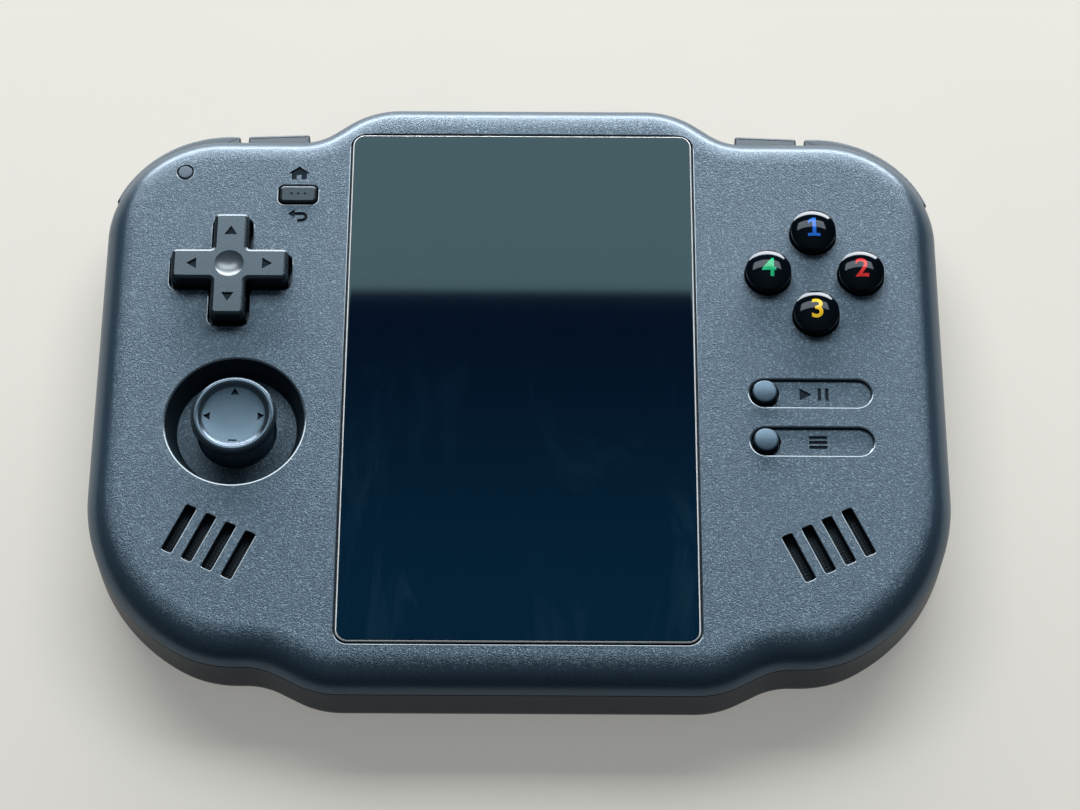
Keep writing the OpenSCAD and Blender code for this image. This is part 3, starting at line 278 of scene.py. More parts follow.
mark_w, mark_depth, mark_step = 2.9, 0.28, 4.15
home_mark = [(-0.62, -0.02), (-0.43, -0.02), (-0.43, -0.42), (-0.14, -0.42), (-0.14, -0.12), (0.14, -0.12),
             (0.14, -0.42), (0.43, -0.42), (0.43, -0.02), (0.62, -0.02), (0, 0.44)]
bend_c = (0.27, -0.035)
return_mark = ([(0.0, -0.355)] + [tuple(p) for p in arc(bend_c, 0.32, -90, 90, 12)]
               + [(-0.15, 0.285), (-0.15, 0.47), (-0.55, 0.185), (-0.15, -0.1), (-0.15, 0.085)]
               + [tuple(p) for p in arc(bend_c, 0.12, 90, -90, 12)] + [(0.0, -0.155)])
play_mark = [(-0.45, -0.5), (0.42, 0), (-0.45, 0.5)]
bar_mark = [(-0.5, -0.1), (0.5, -0.1), (0.5, 0.1), (-0.5, 0.1)]
start_at, select_at = middle_mm("start_button"), middle_mm("select_button")
recess_mark_depth = 0.22
play_w, play_off, pause_w, pause_h, pause_offs = 2.2, 6.6, 0.55, 2.2, (8.8, 10.0)
menu_w, menu_off, menu_rows = 2.9, 8.3, (-0.85, 0, 0.85)
marks = [engrave(scaled(home_mark, mark_w, (function_c.x, function_c.y + mark_step)), face_z, mark_depth),
         engrave(scaled(return_mark, mark_w, (function_c.x, function_c.y - mark_step)), face_z, mark_depth),
         engrave(scaled(play_mark, play_w, (start_at.x + play_off, start_at.y)), recess_z, recess_mark_depth)]
marks += [engrave(rounded((start_at.x + dx, start_at.y), pause_w, pause_h, 0.1, 2), recess_z,
                  recess_mark_depth) for dx in pause_offs]
marks += [engrave(scaled(bar_mark, menu_w, (select_at.x + menu_off, select_at.y + dy)), recess_z,
                  recess_mark_depth) for dy in menu_rows]
carve(front_shell, stick_well + screen_pocket + key_openings + marks)


def linear(colour):
    """Linear RGBA of an sRGB hex colour."""
    parts = [int(colour[i:i + 2], 16) / 255 for i in (1, 3, 5)]
    return [*(p / 12.92 if p <= 0.04045 else ((p + 0.055) / 1.055) ** 2.4 for p in parts), 1]


def add(tree, kind, inputs=(), **settings):
    """Adds a node with its settings; each input is a value to set or a socket to link."""
    made = tree.nodes.new(kind)
    for name, value in settings.items():
        setattr(made, name, value)
    for name, value in dict(inputs).items():
        if isinstance(value, bpy.types.NodeSocket):
            tree.links.new(value, made.inputs[name])
        else:
            made.inputs[name].default_value = value
    return made


def worked(tree, how, *values):
    """The result of a sum on values or sockets."""
    return add(tree, "ShaderNodeMath", dict(enumerate(values)), operation=how).outputs[0]


def ranged(tree, value, start=(0.0, 1.0), end=(0.0, 1.0), **settings):
    """A value carried over from one range to another."""
    return add(tree, "ShaderNodeMapRange", {"Value": value, "From Min": start[0], "From Max": start[1],
                                            "To Min": end[0], "To Max": end[1]}, **settings).outputs[0]


def noise(tree, where, size_mm, detail=2, **more):
    """A noise pattern at a real size."""
    return add(tree, "ShaderNodeTexNoise",
               {"Vector": where, "Scale": 1 / (size_mm * MM), "Detail": detail, **more}).outputs["Fac"]


def tinted(tree, factor, first, second):
    """A colour between two, each given as hex or as a socket."""
    a, b = [linear(c) if isinstance(c, str) else c for c in (first, second)]
    return add(tree, "ShaderNodeMix", {"Factor": factor, 6: a, 7: b}, data_type="RGBA").outputs[2]


def coat(tree, colour, roughness, more=()):
    """Ends a finish with its surface."""
    made = add(tree, "ShaderNodeBsdfPrincipled", {"Base Color": colour, "Roughness": roughness, **dict(more)})
    add(tree, "ShaderNodeOutputMaterial", {"Surface": made.outputs[0]})


def new_finish(name):
    """A new material, its empty node tree, and the place on the piece for its patterns."""
    made = bpy.data.materials.new(name)
    made.use_nodes = True
    tree = made.node_tree
    tree.nodes.clear()
    return made, tree, add(tree, "ShaderNodeTexCoord").outputs["Object"]


# One row of speaker slots, as a cutter: rounded plugs at an even pitch, turned together about its middle.
slot_l, slot_w, slot_r, slot_pitch, slot_count, slot_lean = 8.5, 1.8, 0.35, 3.5, 4, math.radians(25)
slot_plug = loft("slot_plug", rounded((0, 0), slot_w, slot_l, slot_r, 10),
                 [(0, inside_z)] + lip(slot_lip, face_z))


def row_tree(name):
    """Geometry Nodes tree that repeats an object along X, turns and places the row, and paints it."""
    tree = bpy.data.node_groups.new(name, "GeometryNodeTree")
    tree.interface.new_socket("Geometry", in_out="OUTPUT", socket_type="NodeSocketGeometry")
    kinds = {"Piece": "NodeSocketObject", "Count": "NodeSocketInt", "Pitch": "NodeSocketFloat",
             "Turn": "NodeSocketFloat", "Middle": "NodeSocketVector", "Finish": "NodeSocketMaterial"}
    for label, kind in kinds.items():
        tree.interface.new_socket(label, in_out="INPUT", socket_type=kind)
    given = add(tree, "NodeGroupInput").outputs
    span = worked(tree, "MULTIPLY", worked(tree, "SUBTRACT", given["Count"], 1.0), given["Pitch"])
    first = worked(tree, "MULTIPLY", span, -0.5)
    step = add(tree, "ShaderNodeCombineXYZ", {"X": given["Pitch"]}).outputs[0]
    begin = add(tree, "ShaderNodeCombineXYZ", {"X": first}).outputs[0]
    line = add(tree, "GeometryNodeMeshLine",
               {"Count": given["Count"], "Start Location": begin, "Offset": step})
    piece = add(tree, "GeometryNodeObjectInfo", {"Object": given["Piece"], "As Instance": True})
    row = add(tree, "GeometryNodeInstanceOnPoints",
              {"Points": line.outputs[0], "Instance": piece.outputs["Geometry"]})
    plain = add(tree, "GeometryNodeRealizeInstances", {"Geometry": row.outputs[0]})
    turn = add(tree, "ShaderNodeCombineXYZ", {"Z": given["Turn"]}).outputs[0]
    moved = add(tree, "GeometryNodeTransform",
                {"Geometry": plain.outputs[0], "Rotation": turn, "Translation": given["Middle"]})
    painted = add(tree, "GeometryNodeSetMaterial",
                  {"Geometry": moved.outputs[0], "Material": given["Finish"]})
    add(tree, "NodeGroupOutput", {"Geometry": painted.outputs[0]})
    return tree


def grown(name, tree, values, carrier=None):
    """A plain mesh object from a Geometry Nodes tree, its inputs set by their sockets' identifiers."""
    piece = place(name, carrier or bpy.data.meshes.new(name))
    growth = piece.modifiers.new("growth", "NODES")
    growth.node_group = tree
    for socket in tree.interface.items_tree:
        if socket.in_out == "INPUT" and socket.name in values:
            growth[socket.identifier] = values[socket.name]
    return settle(piece)


even_row = row_tree("even_row")
speaker_c = {side: middle_mm(side + "_speaker") for side in ("left", "right")}
slot_rows = [grown("slot_row", even_row, {"Piece": slot_plug, "Count": slot_count, "Pitch": slot_pitch * MM,
                                          "Turn": lean, "Middle": Vector((*speaker_c[side][:2], 0)) * MM})
             for side, lean in (("left", -slot_lean), ("right", slot_lean))]
carve(front_shell, slot_rows)
bpy.data.objects.remove(slot_plug)

# Grained mica ABS: a slate plastic with a satin sheen. The grain breaks the light up into fine speckle; it is
# about 0.1 mm and drawn at 0.22 mm to show. Mica flakes are painted in as pale specks here and there, a
# painted glint, fewer on the rubbed edges; the mould's flow leaves a faint unevenness over centimetres, and
# hands have rubbed the round edges smoother than the flats.
grained_abs, tree, where = new_finish("grained_mica_abs")
shell_grain = 0.22
grain = noise(tree, where, shell_grain, Roughness=0.6)
flakes = add(tree, "ShaderNodeTexVoronoi", {"Vector": where, "Scale": 1 / (shell_grain * MM)})
pick = add(tree, "ShaderNodeSeparateColor", {"Color": flakes.outputs["Color"]}).outputs
facing = add(tree, "ShaderNodeSeparateXYZ", {"Vector": add(tree, "ShaderNodeTexCoord").outputs["Normal"]})
upright = worked(tree, "ABSOLUTE", facing.outputs["Z"])
worn = ranged(tree, upright, (0.995, 0.86), interpolation_type="SMOOTHSTEP")
depth = ranged(tree, worn, end=(1.0, 0.08))
# Painted glint: pale specks where the flakes fall, fewer on the rubbed edges.
mica = worked(tree, "MULTIPLY", ranged(tree, pick["Red"], (0.7, 1.0), (0.0, 0.42)), depth)
slate = tinted(tree, ranged(tree, grain, (0.3, 0.7)), "#14212d", "#374959")
flowed = tinted(tree, noise(tree, where, 25), slate, "#213241")
glint_painted_slate = tinted(tree, mica, flowed, "#8ba2b4")
satin = ranged(tree, pick["Green"], end=(0.33, 0.5))
rubbed = add(tree, "ShaderNodeMix", {"Factor": worn, "A": satin, "B": 0.29}).outputs[0]
relief = add(tree, "ShaderNodeBump", {"Height": grain, "Strength": depth, "Distance": 0.16 * MM})
coat(tree, glint_painted_slate, rubbed, {"IOR": 1.75, "Specular Tint": linear("#c0e2ff"), "Normal": relief.outputs[0]})


def dress(piece, finish, body, slot, *nodes, sharp=32):
    """Smooth shading with crisp edges, the finish, and the piece's place in the frame."""
    piece.data.materials.clear()
    piece.data.materials.append(finish)
    piece.data.polygons.foreach_set("use_smooth", [True] * len(piece.data.polygons))
    piece.data.set_sharp_from_angle(angle=math.radians(sharp))
    even = piece.modifiers.new("even shading", "WEIGHTED_NORMAL")
    even.keep_sharp = True
    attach(piece, body)
    if nodes:
        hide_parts(*nodes)


def paint(piece, finish, chosen):
    """Gives a further finish to the faces that a test of their normal and centre picks."""
    piece.data.materials.append(finish)
    for face in piece.data.polygons:
        if chosen(face.normal, face.center / MM):
            face.material_index = len(piece.data.materials) - 1


def off_axis(at, centre):
    """Distance of a point from the upright axis through a centre."""
    return (at.xy - centre.xy).length


def paint_mark_shade(piece, *floors):
    """Paints the floors of engraved marks at these heights near black, a painted shade."""
    paint(piece, mark_painted_shade, lambda n, at: n.z > 0.8 and any(abs(at.z - z) < 0.02 for z in floors))


# Painted shade in the sunk marks: their floors are painted near black, matt and a little uneven.
mark_painted_shade, tree, where = new_finish("mark_floor_painted_shade")
shade_tone = tinted(tree, noise(tree, where, 0.5), "#03070c", "#0b131b")
coat(tree, shade_tone, 0.6, {"IOR": 1.35, "Specular Tint": linear("#a8cdf0")})


def moulded(name, colour, tint, grain_mm, roughness, relief_mm=0.01, ior=1.5, metallic=0.0, sheen="#ffffff"):
    """A plain finish: a colour that drifts to a tint, with grain in its gloss and relief at a real size."""
    made, tree, where = new_finish(name)
    grain = noise(tree, where, grain_mm, 3)
    drift = worked(tree, "MULTIPLY", grain, noise(tree, where, 8))
    shade = tinted(tree, ranged(tree, drift, (0.1, 0.42)), colour, tint)
    gloss = ranged(tree, grain, end=(roughness * 0.85, min(1.0, roughness * 1.15)))
    relief = add(tree, "ShaderNodeBump", {"Height": grain, "Strength": 0.4, "Distance": relief_mm * MM})
    coat(tree, shade, gloss, {"Metallic": metallic, "IOR": ior, "Specular Tint": linear(sheen),
                              "Normal": relief.outputs[0]})
    return made


# Lips of the openings: the tool's edges carry no grain, and hands rub them, so they draw thin bright lines.
lip_abs = moulded("rubbed_lip_abs", "#1b2833", "#2a3946", 0.4, 0.14, 0.004, 2.2, sheen="#dff1ff")

dress(front_shell, grained_abs, "case", "shell", "front_shell", sharp=10)
# Painted shade on the floors of the engraved marks.
paint_mark_shade(front_shell, face_z - mark_depth, recess_z - recess_mark_depth)

# Walls of the openings and of the well: the same plastic, smooth from the tool's drafted steel, so they mirror
# less of the light; they are also painted darker than the face, a painted shade inside the openings.
shaded_wall_abs = moulded("smooth_wall_painted_shade_abs", "#0a1219", "#131e27", 0.4, 0.5, 0.01, 1.36, sheen="#b8deff")
paint(front_shell, shaded_wall_abs, lambda n, at: n.z < 0.35 and at.z > face_z - wall - 0.7
      or n.z < 0.7 and at.z < face_z - 0.1 and off_axis(at, stick_c) < well_r + 0.3)
paint(front_shell, lip_abs, lambda n, at: any(abs(n.z - math.cos(lean)) < 0.006 for lean in lip_leans)
      and (at.z > face_z - (0.03 if n.z > 0.9 else 0.2) or abs(at.z - recess_z) < 0.06))

# Screen. Cover glass printed black on its back, with a ground and polished edge, held in its pocket by a
# frame of foam tape. The display panel is bonded behind it, and its flat cable folds down to the board.
edge_polish = 0.34
glass = loft("cover_glass_pane", rounded((0, 0), glass_w, glass_h, glass_r, 10),
             [(0, glass_low.z)] + round_top(edge_polish, glass_high.z, steps=4)
             + [(edge_polish + 0.3, glass_high.z)])

# Black printed cover glass: deep navy black with a hard clear reflection, dulled by a few wiped smears low
# down. Towards the bottom the print is painted a lighter navy, a painted reflection.
printed_glass, tree, where = new_finish("black_printed_glass")
stretch = add(tree, "ShaderNodeMapping", {"Vector": where, "Scale": (1, 0.35, 1)}).outputs[0]
wipes = noise(tree, stretch, 14, 5, Roughness=0.65, Distortion=0.8)
height = add(tree, "ShaderNodeSeparateXYZ", {"Vector": where}).outputs["Y"]
reflection_and_smear_fade = ranged(tree, height, (16 * MM, -40 * MM), interpolation_type="SMOOTHSTEP")
smear = worked(tree, "MULTIPLY", ranged(tree, wipes, (0.52, 0.75)), reflection_and_smear_fade)
# Painted reflection: the print turns a lighter navy towards the bottom.
navy = tinted(tree, reflection_and_smear_fade, "#00081c", "#021d32")
coat(tree, tinted(tree, smear, navy, "#132c3e"), ranged(tree, smear, end=(0.035, 0.15)),
     {"IOR": 1.28, "Specular Tint": linear("#baf2ff")})

# Glass edge: the ground and polished rim is painted near white, a painted highlight that shows as a thin
# bright line.
edge_painted_highlight, tree, where = new_finish("glass_edge_painted_highlight")
coat(tree, tinted(tree, noise(tree, where, 1.5), "#e2ebf0", "#ffffff"), 0.22, {"IOR": 1.7})

dress(glass, printed_glass, "case", "cover_glass", "screen_glass")
# The rim's faces take the painted highlight.
glass.data.materials.append(edge_painted_highlight)
for face in glass.data.polygons:
    face.material_index = int(0.02 < face.normal.z < 0.98)


def refinish(finish, *nodes):
    """Gives frame nodes that keep their shape a better material."""
    for name in nodes:
        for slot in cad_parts[name].material_slots:
            slot.material = finish


# Behind the glass: dull black foam that swallows light, a smooth grey film, and a glossy amber cable.
refinish(moulded("black_foam_tape", "#15171a", "#24272b", 0.3, 0.9, 0.03), "screen_adhesive")
refinish(moulded("display_back_film", "#20242a", "#353b43", 2.0, 0.35), "display_panel")
refinish(moulded("polyimide_flex", "#b3701f", "#8a4f14", 1.2, 0.4), "display_ribbon")

# Direction pad. One cross moulded in satin ABS, with a shallow dish in the middle and an arrow sunk in each
# arm. It rocks on a ball under its middle, held by a flange behind the face, over a sheet of rubber domes.


def worn_top(width, top):
    """Levels of an upper edge that is rounded below and worn to a narrow flat above."""
    worn = 0.42 * width
    drop = worn * math.tan(math.radians(25))
    turned_in = [(0, 1.0), (0.12, 0.62), (0.3, 0.34), (0.58, 0.0)]
    rise = width - drop
    side = [(width * d, top - drop - rise * h * 0.6) for d, h in turned_in]
    return side + [(width, top), (width + 0.2, top)]


pad_low, pad_high = box_mm("d_pad")
pad_edge_r, pad_flange_r, pad_flange_t = 0.6, 11.0, 0.8
pad_dish_r, pad_dish_depth = 2.4, 0.75
d_pad = loft("d_pad_cross", pad_plan, [(0, pad_low.z + 0.2)] + worn_top(pad_edge_r, pad_high.z))
carve(d_pad, [turned("pad_flange", pad_c, [(pad_flange_r, pad_low.z),
                                           (pad_flange_r, pad_low.z + pad_flange_t)])], "UNION")


def dish(centre, radius, depth, top, edge=0.2, steps=12):
    """A cutter for a round shallow dish with a soft rim."""
    ball = (radius ** 2 + depth ** 2) / (2 * depth)
    bowl = [(radius * max(i / steps, 0.01),
             top - depth + ball - math.sqrt(ball ** 2 - (radius * i / steps) ** 2)) for i in range(steps)]
    return turned("dish", centre, bowl + [(radius, top), (radius + edge, top + edge)], 72)


arrow_mark = [(-0.5, -0.36), (0.5, -0.36), (0, 0.44)]
arrow_w, arrow_at, arrow_depth = 2.05, 6.1, 0.32
arrow_cuts = []
for quarter in range(4):
    turn = Matrix.Rotation(math.radians(90 * quarter), 2)
    tip = [Vector(pad_c[:2]) + turn @ (Vector((0, arrow_at)) + Vector(p) * arrow_w) for p in arrow_mark]
    arrow_cuts.append(engrave(tip, pad_high.z, arrow_depth))
carve(d_pad, [dish(pad_c, pad_dish_r, pad_dish_depth, pad_high.z)] + arrow_cuts)

# Satin ABS of the keys: near black with a soft sheen, its fine even grain drawn at 0.25 mm to show.
# The pad's dish is the same plastic painted a lighter slate, a painted highlight for its broad bright spot.
satin_abs = moulded("satin_key_abs", "#10171d", "#1d262d", 0.25, 0.27, 0.004, 1.58, sheen="#c8e6ff")
dish_highlight_abs = moulded("dish_painted_highlight_abs", "#2a3742", "#3d4c58", 0.25, 0.34, 0.004, 2.0, sheen="#e8f4ff")
dress(d_pad, satin_abs, "d_pad", "dark_keys", "d_pad", sharp=20)
# Painted shade on the floors of the sunk arrows.
paint_mark_shade(d_pad, pad_high.z - arrow_depth)
# Painted highlight: the dish's faces take the lighter finish.
paint(d_pad, dish_highlight_abs, lambda n, at: n.z > 0.3 and at.z < pad_high.z - 0.01
      and off_axis(at, pad_c) < pad_dish_r + 0.1)

# Inner pieces: dull grey silicone, bright grainy steel and plain black plastic with a weak sheen.
silicone = moulded("silicone_rubber", "#6d7478", "#8b9296", 0.4, 0.7, 0.02, 1.41)
steel = moulded("stamped_stainless_steel", "#a9adb0", "#c8cbcd", 0.35, 0.3, 0.008, 1.5, 1.0)
inner_abs = moulded("black_inner_plastic", "#17191c", "#2a2d31", 0.4, 0.5, 0.02)
refinish(inner_abs, "d_pad_seat", "d_pad_pivot")
refinish(silicone, "d_pad_membrane", "face_button_membrane", "start_select_membrane")

# Face keys. Four round domed caps in polished black acrylic, each with a coloured numeral moulded through it.
# They stand in a diamond, stopped by a flange behind the face, and press rubber domes on the board.
key_r, key_flange, key_flange_t, key_crown, key_shoulder = 3.68, 4.5, 1.0, 1.12, 0.16

# Polished black acrylic: deep black with hard clear reflections. The inlays are the same in clear colours.
gloss_acrylic = moulded("polished_black_acrylic", "#01050a", "#030a11", 1.0, 0.06, 0.0003, 1.32,
                        sheen="#d8ecff")
inlay_colours = {"face_button_top": ("1", "#1f62c9", "#2b78e0"),
                 "face_button_right": ("2", "#c8282c", "#e04043"),
                 "face_button_bottom": ("3", "#e2b41c", "#f2cb3a"),
                 "face_button_left": ("4", "#12a06a", "#2bbd84")}
crown_r = (key_r ** 2 + key_crown ** 2) / (2 * key_crown)


def crown(top, lift=0.0):
    """Profile of a face key's shoulder and dome, from the side up to the middle."""
    ball_z = top - crown_r
    ball = crown_r - key_shoulder
    inner = key_r - key_shoulder
    meet = math.asin(inner / ball)
    edge_z = ball_z + ball * math.cos(meet)
    turns = [math.pi / 2 - (math.pi / 2 - meet) * i / 8 for i in range(9)]
    side = [(inner + (key_shoulder + lift) * math.sin(a), edge_z + (key_shoulder + lift) * math.cos(a))
            for a in turns]
    dome = [((crown_r + lift) * math.sin(a), ball_z + (crown_r + lift) * math.cos(a))
            for a in [meet * (1 - i / 14) for i in range(1, 14)]]
    return side + dome + [(0.03, top + lift)]


# The numeral 1 is drawn here with a foot, because a bare stroke reads as a bar.
footed_one = [(-0.3, -0.5), (0.3, -0.5), (0.3, -0.36), (0.1, -0.36), (0.1, 0.5), (-0.05, 0.5), (-0.28, 0.34),
              (-0.28, 0.16), (-0.08, 0.28), (-0.08, -0.36), (-0.3, -0.36)]
numeral_h, numeral_em, numeral_weight, inlay_lift, inlay_depth = 3.4, 1.38, 0.07, 0.012, 1.2
rings_outside = 12
for name in key_names:
    low, high = box_mm(name)
    at = (low + high) / 2
    flange_z = low.z + key_flange_t
    key = turned(name + "_cap", at, [(key_flange, low.z), (key_flange, flange_z), (key_r, flange_z)]
                 + crown(high.z), 96)
    dress(key, gloss_acrylic, name, "gloss_keys", name, sharp=40)
    numeral, colour, tint = inlay_colours[name]
    if numeral == "1":
        inlay = loft(name + "_inlay", scaled(footed_one, numeral_h, at), [(0, high.z - 2), (0, high.z + 2)])
    else:
        text = bpy.data.curves.new(name + "_numeral", "FONT")
        text.body, text.size = numeral, numeral_h * MM * numeral_em
        text.align_x, text.align_y = "CENTER", "CENTER"
        text.extrude, text.offset, text.resolution_u = 2 * MM, numeral_weight * MM, 6
        sign = place(name + "_numeral", text)
        flat = bpy.data.meshes.new_from_object(sign.evaluated_get(bpy.context.evaluated_depsgraph_get()))
        bpy.data.objects.remove(sign)
        reach = [[v.co[i] for v in flat.vertices] for i in range(2)]
        shift = [at[i] * MM - (min(reach[i]) + max(reach[i])) / 2 for i in range(2)]
        flat.transform(Matrix.Translation(Vector((*shift, high.z * MM))))
        form = bmesh.new()
        form.from_mesh(flat)
        bmesh.ops.remove_doubles(form, verts=form.verts, dist=0.001 * MM)
        bmesh.ops.recalc_face_normals(form, faces=form.faces)
        form.to_mesh(flat)
        form.free()
        inlay = place(name + "_inlay", flat)
    dome = crown(high.z, inlay_lift)[rings_outside:]
    carve(inlay, [turned("inlay_dome", at, [(dome[0][0], high.z - inlay_depth)] + dome, 96)], "INTERSECT")
    dress(inlay, moulded(name + "_inlay_acrylic", colour, tint, 0.8, 0.08, 0.0003, 1.3), name, "gloss_keys")

# Start and select. Two small round satin caps, each at the left end of its pill-shaped recess in the face.
# They press rubber domes on the board, and a generic mark is sunk in the recess beside each.
small_r, small_flange, small_flange_t, small_edge = 2.05, 2.8, 0.8, 0.5

# Slate ABS of the small caps: lighter than the other keys, with a soft sheen on the low dome, over sides
# painted dark as painted shade.
small_key_abs = moulded("slate_key_abs", "#2a3a48", "#3c4e5e", 0.25, 0.36, 0.02, 1.8, sheen="#b8deff")
for name in small_names:
    low, high = box_mm(name)
    at = (low + high) / 2
    rim = [(small_r - depth, z) for depth, z in round_top(small_edge, high.z - 0.12)]
    crown_top = [(1.2, high.z - 0.06), (0.7, high.z - 0.02), (0.03, high.z)]
    cap = turned(name + "_cap", at, [(small_flange, low.z), (small_flange, low.z + small_flange_t),
                                     (small_r, low.z + small_flange_t)] + rim + crown_top, 72)
    dress(cap, small_key_abs, name, "dark_keys", name)
    # Painted shade: the caps' sides take the dark wall finish.
    paint(cap, shaded_wall_abs, lambda n, at: n.z < 0.72)

# Function key. A small oblong satin cap beside the screen, barely proud of the face, with three sunk dots.
# It rests on a switch on the board.
low, high = box_mm("function_button")
function_key = loft("function_key_cap", rounded(function_c, function_w, function_h, function_r),
                    [(0, low.z)] + worn_top(0.4, high.z))
dot_profile, dot_step = [(0.22, high.z - 0.2), (0.28, high.z + 1)], 1.1
carve(function_key, [turned("dot", (function_c.x + dx, function_c.y), dot_profile, 24)
                     for dx in (-dot_step, 0, dot_step)])

# Function key's ABS: darker and duller than the other keys, so that the cap sinks back beside the screen.
shaded_abs = moulded("satin_function_key_abs", "#0d141a", "#182128", 0.25, 0.34, 0.004, 1.42, sheen="#c8e6ff")
dress(function_key, shaded_abs, "function_button", "dark_keys", "function_button", sharp=20)
refinish(inner_abs, "function_switch")

# Thumb stick. A dished satin cap on a sleeve and a domed skirt, which fills the hole in the well's floor.
# The lever turns in a gimbal on a carriage that also presses down, over a spring in a housing on the board.
pivot_z, skirt_r, skirt_t, sleeve_r = 7.6, 6.9, 0.6, 2.4
cap_r, cap_t, cap_dish, cap_rim, rim_drop = 6.85, 2.5, 1.0, 0.85, 1.3
cap_top = box_mm("stick_cap")[1].z
rim_turns = [math.radians(a) for a in range(0, 125, 10)]
cap_side = [(cap_r - 1.7, cap_top - cap_t), (cap_r - 1.35, cap_top - cap_t + 0.1),
            (cap_r - 0.7, cap_top - 1.75), (cap_r - 0.18, cap_top - 1.2)]
cap_rim_form = [(cap_r - cap_rim + cap_rim * math.cos(a), cap_top - cap_rim + cap_rim * math.sin(a))
                for a in rim_turns]
floor_r = cap_rim_form[-1][0] - 0.5
dish_form = ((1.04, 0.36), (0.98, 0.52), (0.9, 0.66), (0.8, 0.76), (0.66, 0.86), (0.5, 0.93), (0.3, 0.98),
             (0.005, 1.0))
cap_floor = [(floor_r * f, cap_top - cap_dish * d) for f, d in dish_form]
skirt_edge = math.acos((well_floor - 2.0 - pivot_z) / skirt_r)
skirt_turns = [skirt_edge * (1 - i / 16) for i in range(17)]
skirt_out = [(skirt_r * math.sin(a), pivot_z + skirt_r * math.cos(a)) for a in skirt_turns
             if skirt_r * math.sin(a) > sleeve_r]
skirt_in = [((skirt_r - skirt_t) * math.sin(a), pivot_z + (skirt_r - skirt_t) * math.cos(a))
            for a in reversed(skirt_turns)]
skirt_in[0] = (0.02, skirt_in[0][1])
stick_cap = turned("stick_thumb_cap", stick_c, skirt_in + skirt_out + [(sleeve_r, skirt_out[-1][1] + 0.25),
                   (sleeve_r, cap_top - cap_t)] + cap_side + cap_rim_form + cap_floor, 112)
cap_mark_at, cap_mark_w = 4.3, 1.4
cap_mark_z = cap_top - cap_dish * 1.1
cap_marks = []
for quarter in range(4):
    turn = Matrix.Rotation(math.radians(90 * quarter), 2)
    shape = bar_mark if quarter == 2 else arrow_mark
    tip = [Vector(stick_c[:2]) + turn @ (Vector((0, cap_mark_at)) + Vector(p) * cap_mark_w) for p in shape]
    cap_marks.append(loft("cap_mark", tip, [(0, cap_mark_z), (0, cap_top + 0.5)]))
carve(stick_cap, cap_marks)

# The cap: slate ABS with a soft sheen in the dish, a rim thumbed smoother and painted darker as painted shade,
# which shows a thin bright line, a dull black nylon underside whose black is painted shade under the rim, and
# the case's own plastic on the skirt. The housing is dull grey nylon.
cap_abs = moulded("slate_cap_abs", "#2b3d4a", "#405462", 0.25, 0.4, 0.02, 1.72, sheen="#b8deff")
dress(stick_cap, cap_abs, "stick", "dark_keys", "stick_cap")
# Painted shade on the floors of the cap's marks.
paint_mark_shade(stick_cap, cap_mark_z)
nylon_underside_shade = moulded("matt_black_nylon_painted_shade", "#10161c", "#1b232a", 0.4, 0.6, 0.005)
thumbed_rim_shade_abs = moulded("thumbed_rim_painted_shade_abs", "#141d24", "#222d36", 0.25, 0.26, 0.003, 1.7, sheen="#b8deff")
# Painted shade: the rim's faces take the darker, smoother finish.
paint(stick_cap, thumbed_rim_shade_abs,
      lambda n, at: at.z > cap_top - rim_drop and off_axis(at, stick_c) > floor_r - 0.08)
# Painted shade: everything below the rim takes the near-black nylon finish.
paint(stick_cap, nylon_underside_shade, lambda n, at: at.z < cap_top - rim_drop)
paint(stick_cap, grained_abs,
      lambda n, at: at.z < cap_top - cap_t - 0.2 and off_axis(at, stick_c) > sleeve_r + 0.2)
refinish(steel, "stick_lever", "stick_spring")
refinish(inner_abs, "stick_gimbal", "stick_carriage")
refinish(moulded("stick_housing_nylon", "#2c3034", "#3d4247", 0.5, 0.45, 0.02), "stick_housing")

# Indicator. A round light guide in the upper left corner, moulded in smoked polycarbonate that looks like the
# case while it is dark, only glossier. It is pressed into its hole, flush with the face.
low, high = box_mm("indicator_light_guide")
guide_r = 1.2
guide_edge = [(guide_r - d, z) for d, z in round_top(0.15, high.z, steps=4)]
guide = turned("light_guide_plug", guide_c, [(guide_r, low.z)] + guide_edge
               + [(guide_r * 0.5, high.z), (0.02, high.z)], 56)
smoked = moulded("smoked_polycarbonate", "#1d2833", "#2e3a46", 0.3, 0.36, 0.02, 1.66, sheen="#c9e2fa")
dress(guide, smoked, "case", "light_guide", "indicator_light_guide")

# Speakers. Two oblong units behind the slots, each under a woven dust mesh of fine black wire. The wires are
# about 0.1 mm at 0.3 mm pitch; they are drawn 0.2 mm at 0.55 mm so that the weave shows, dark and dull.
wire_r, wire_pitch, mesh_l, mesh_w = 0.1, 0.55, 17.0, 11.0
for side, lean in (("left", -slot_lean), ("right", slot_lean)):
    at = middle_mm(side + "_speaker_mesh")
    wires = []
    for turn, length, span, lift in ((lean, mesh_w, mesh_l, 0.04),
                                     (lean + math.pi / 2, mesh_l, mesh_w, -0.04)):
        wire = turned("wire", (0, 0), [(wire_r, -length / 2), (wire_r, length / 2)], 6)
        wire.data.transform(Matrix.Rotation(math.pi / 2, 4, "X"))
        wires.append(grown("wire_row", even_row, {
            "Piece": wire, "Count": int(span / wire_pitch), "Pitch": wire_pitch * MM, "Turn": turn,
            "Middle": Vector((at.x, at.y, at.z + lift)) * MM}))
        bpy.data.objects.remove(wire)
    form = bmesh.new()
    for row in wires:
        form.from_mesh(row.data)
        bpy.data.objects.remove(row)
    mesh = bpy.data.meshes.new(side + "_dust_mesh")
    form.to_mesh(mesh)
    form.free()
    black_wire = moulded(side + "_woven_black_wire", "#121d27", "#253443", 0.5, 0.6, 0.01, 1.4,
                         sheen="#b8deff")
    dress(place(side + "_dust_mesh", mesh), black_wire, "case", "dust_mesh", side + "_speaker_mesh")
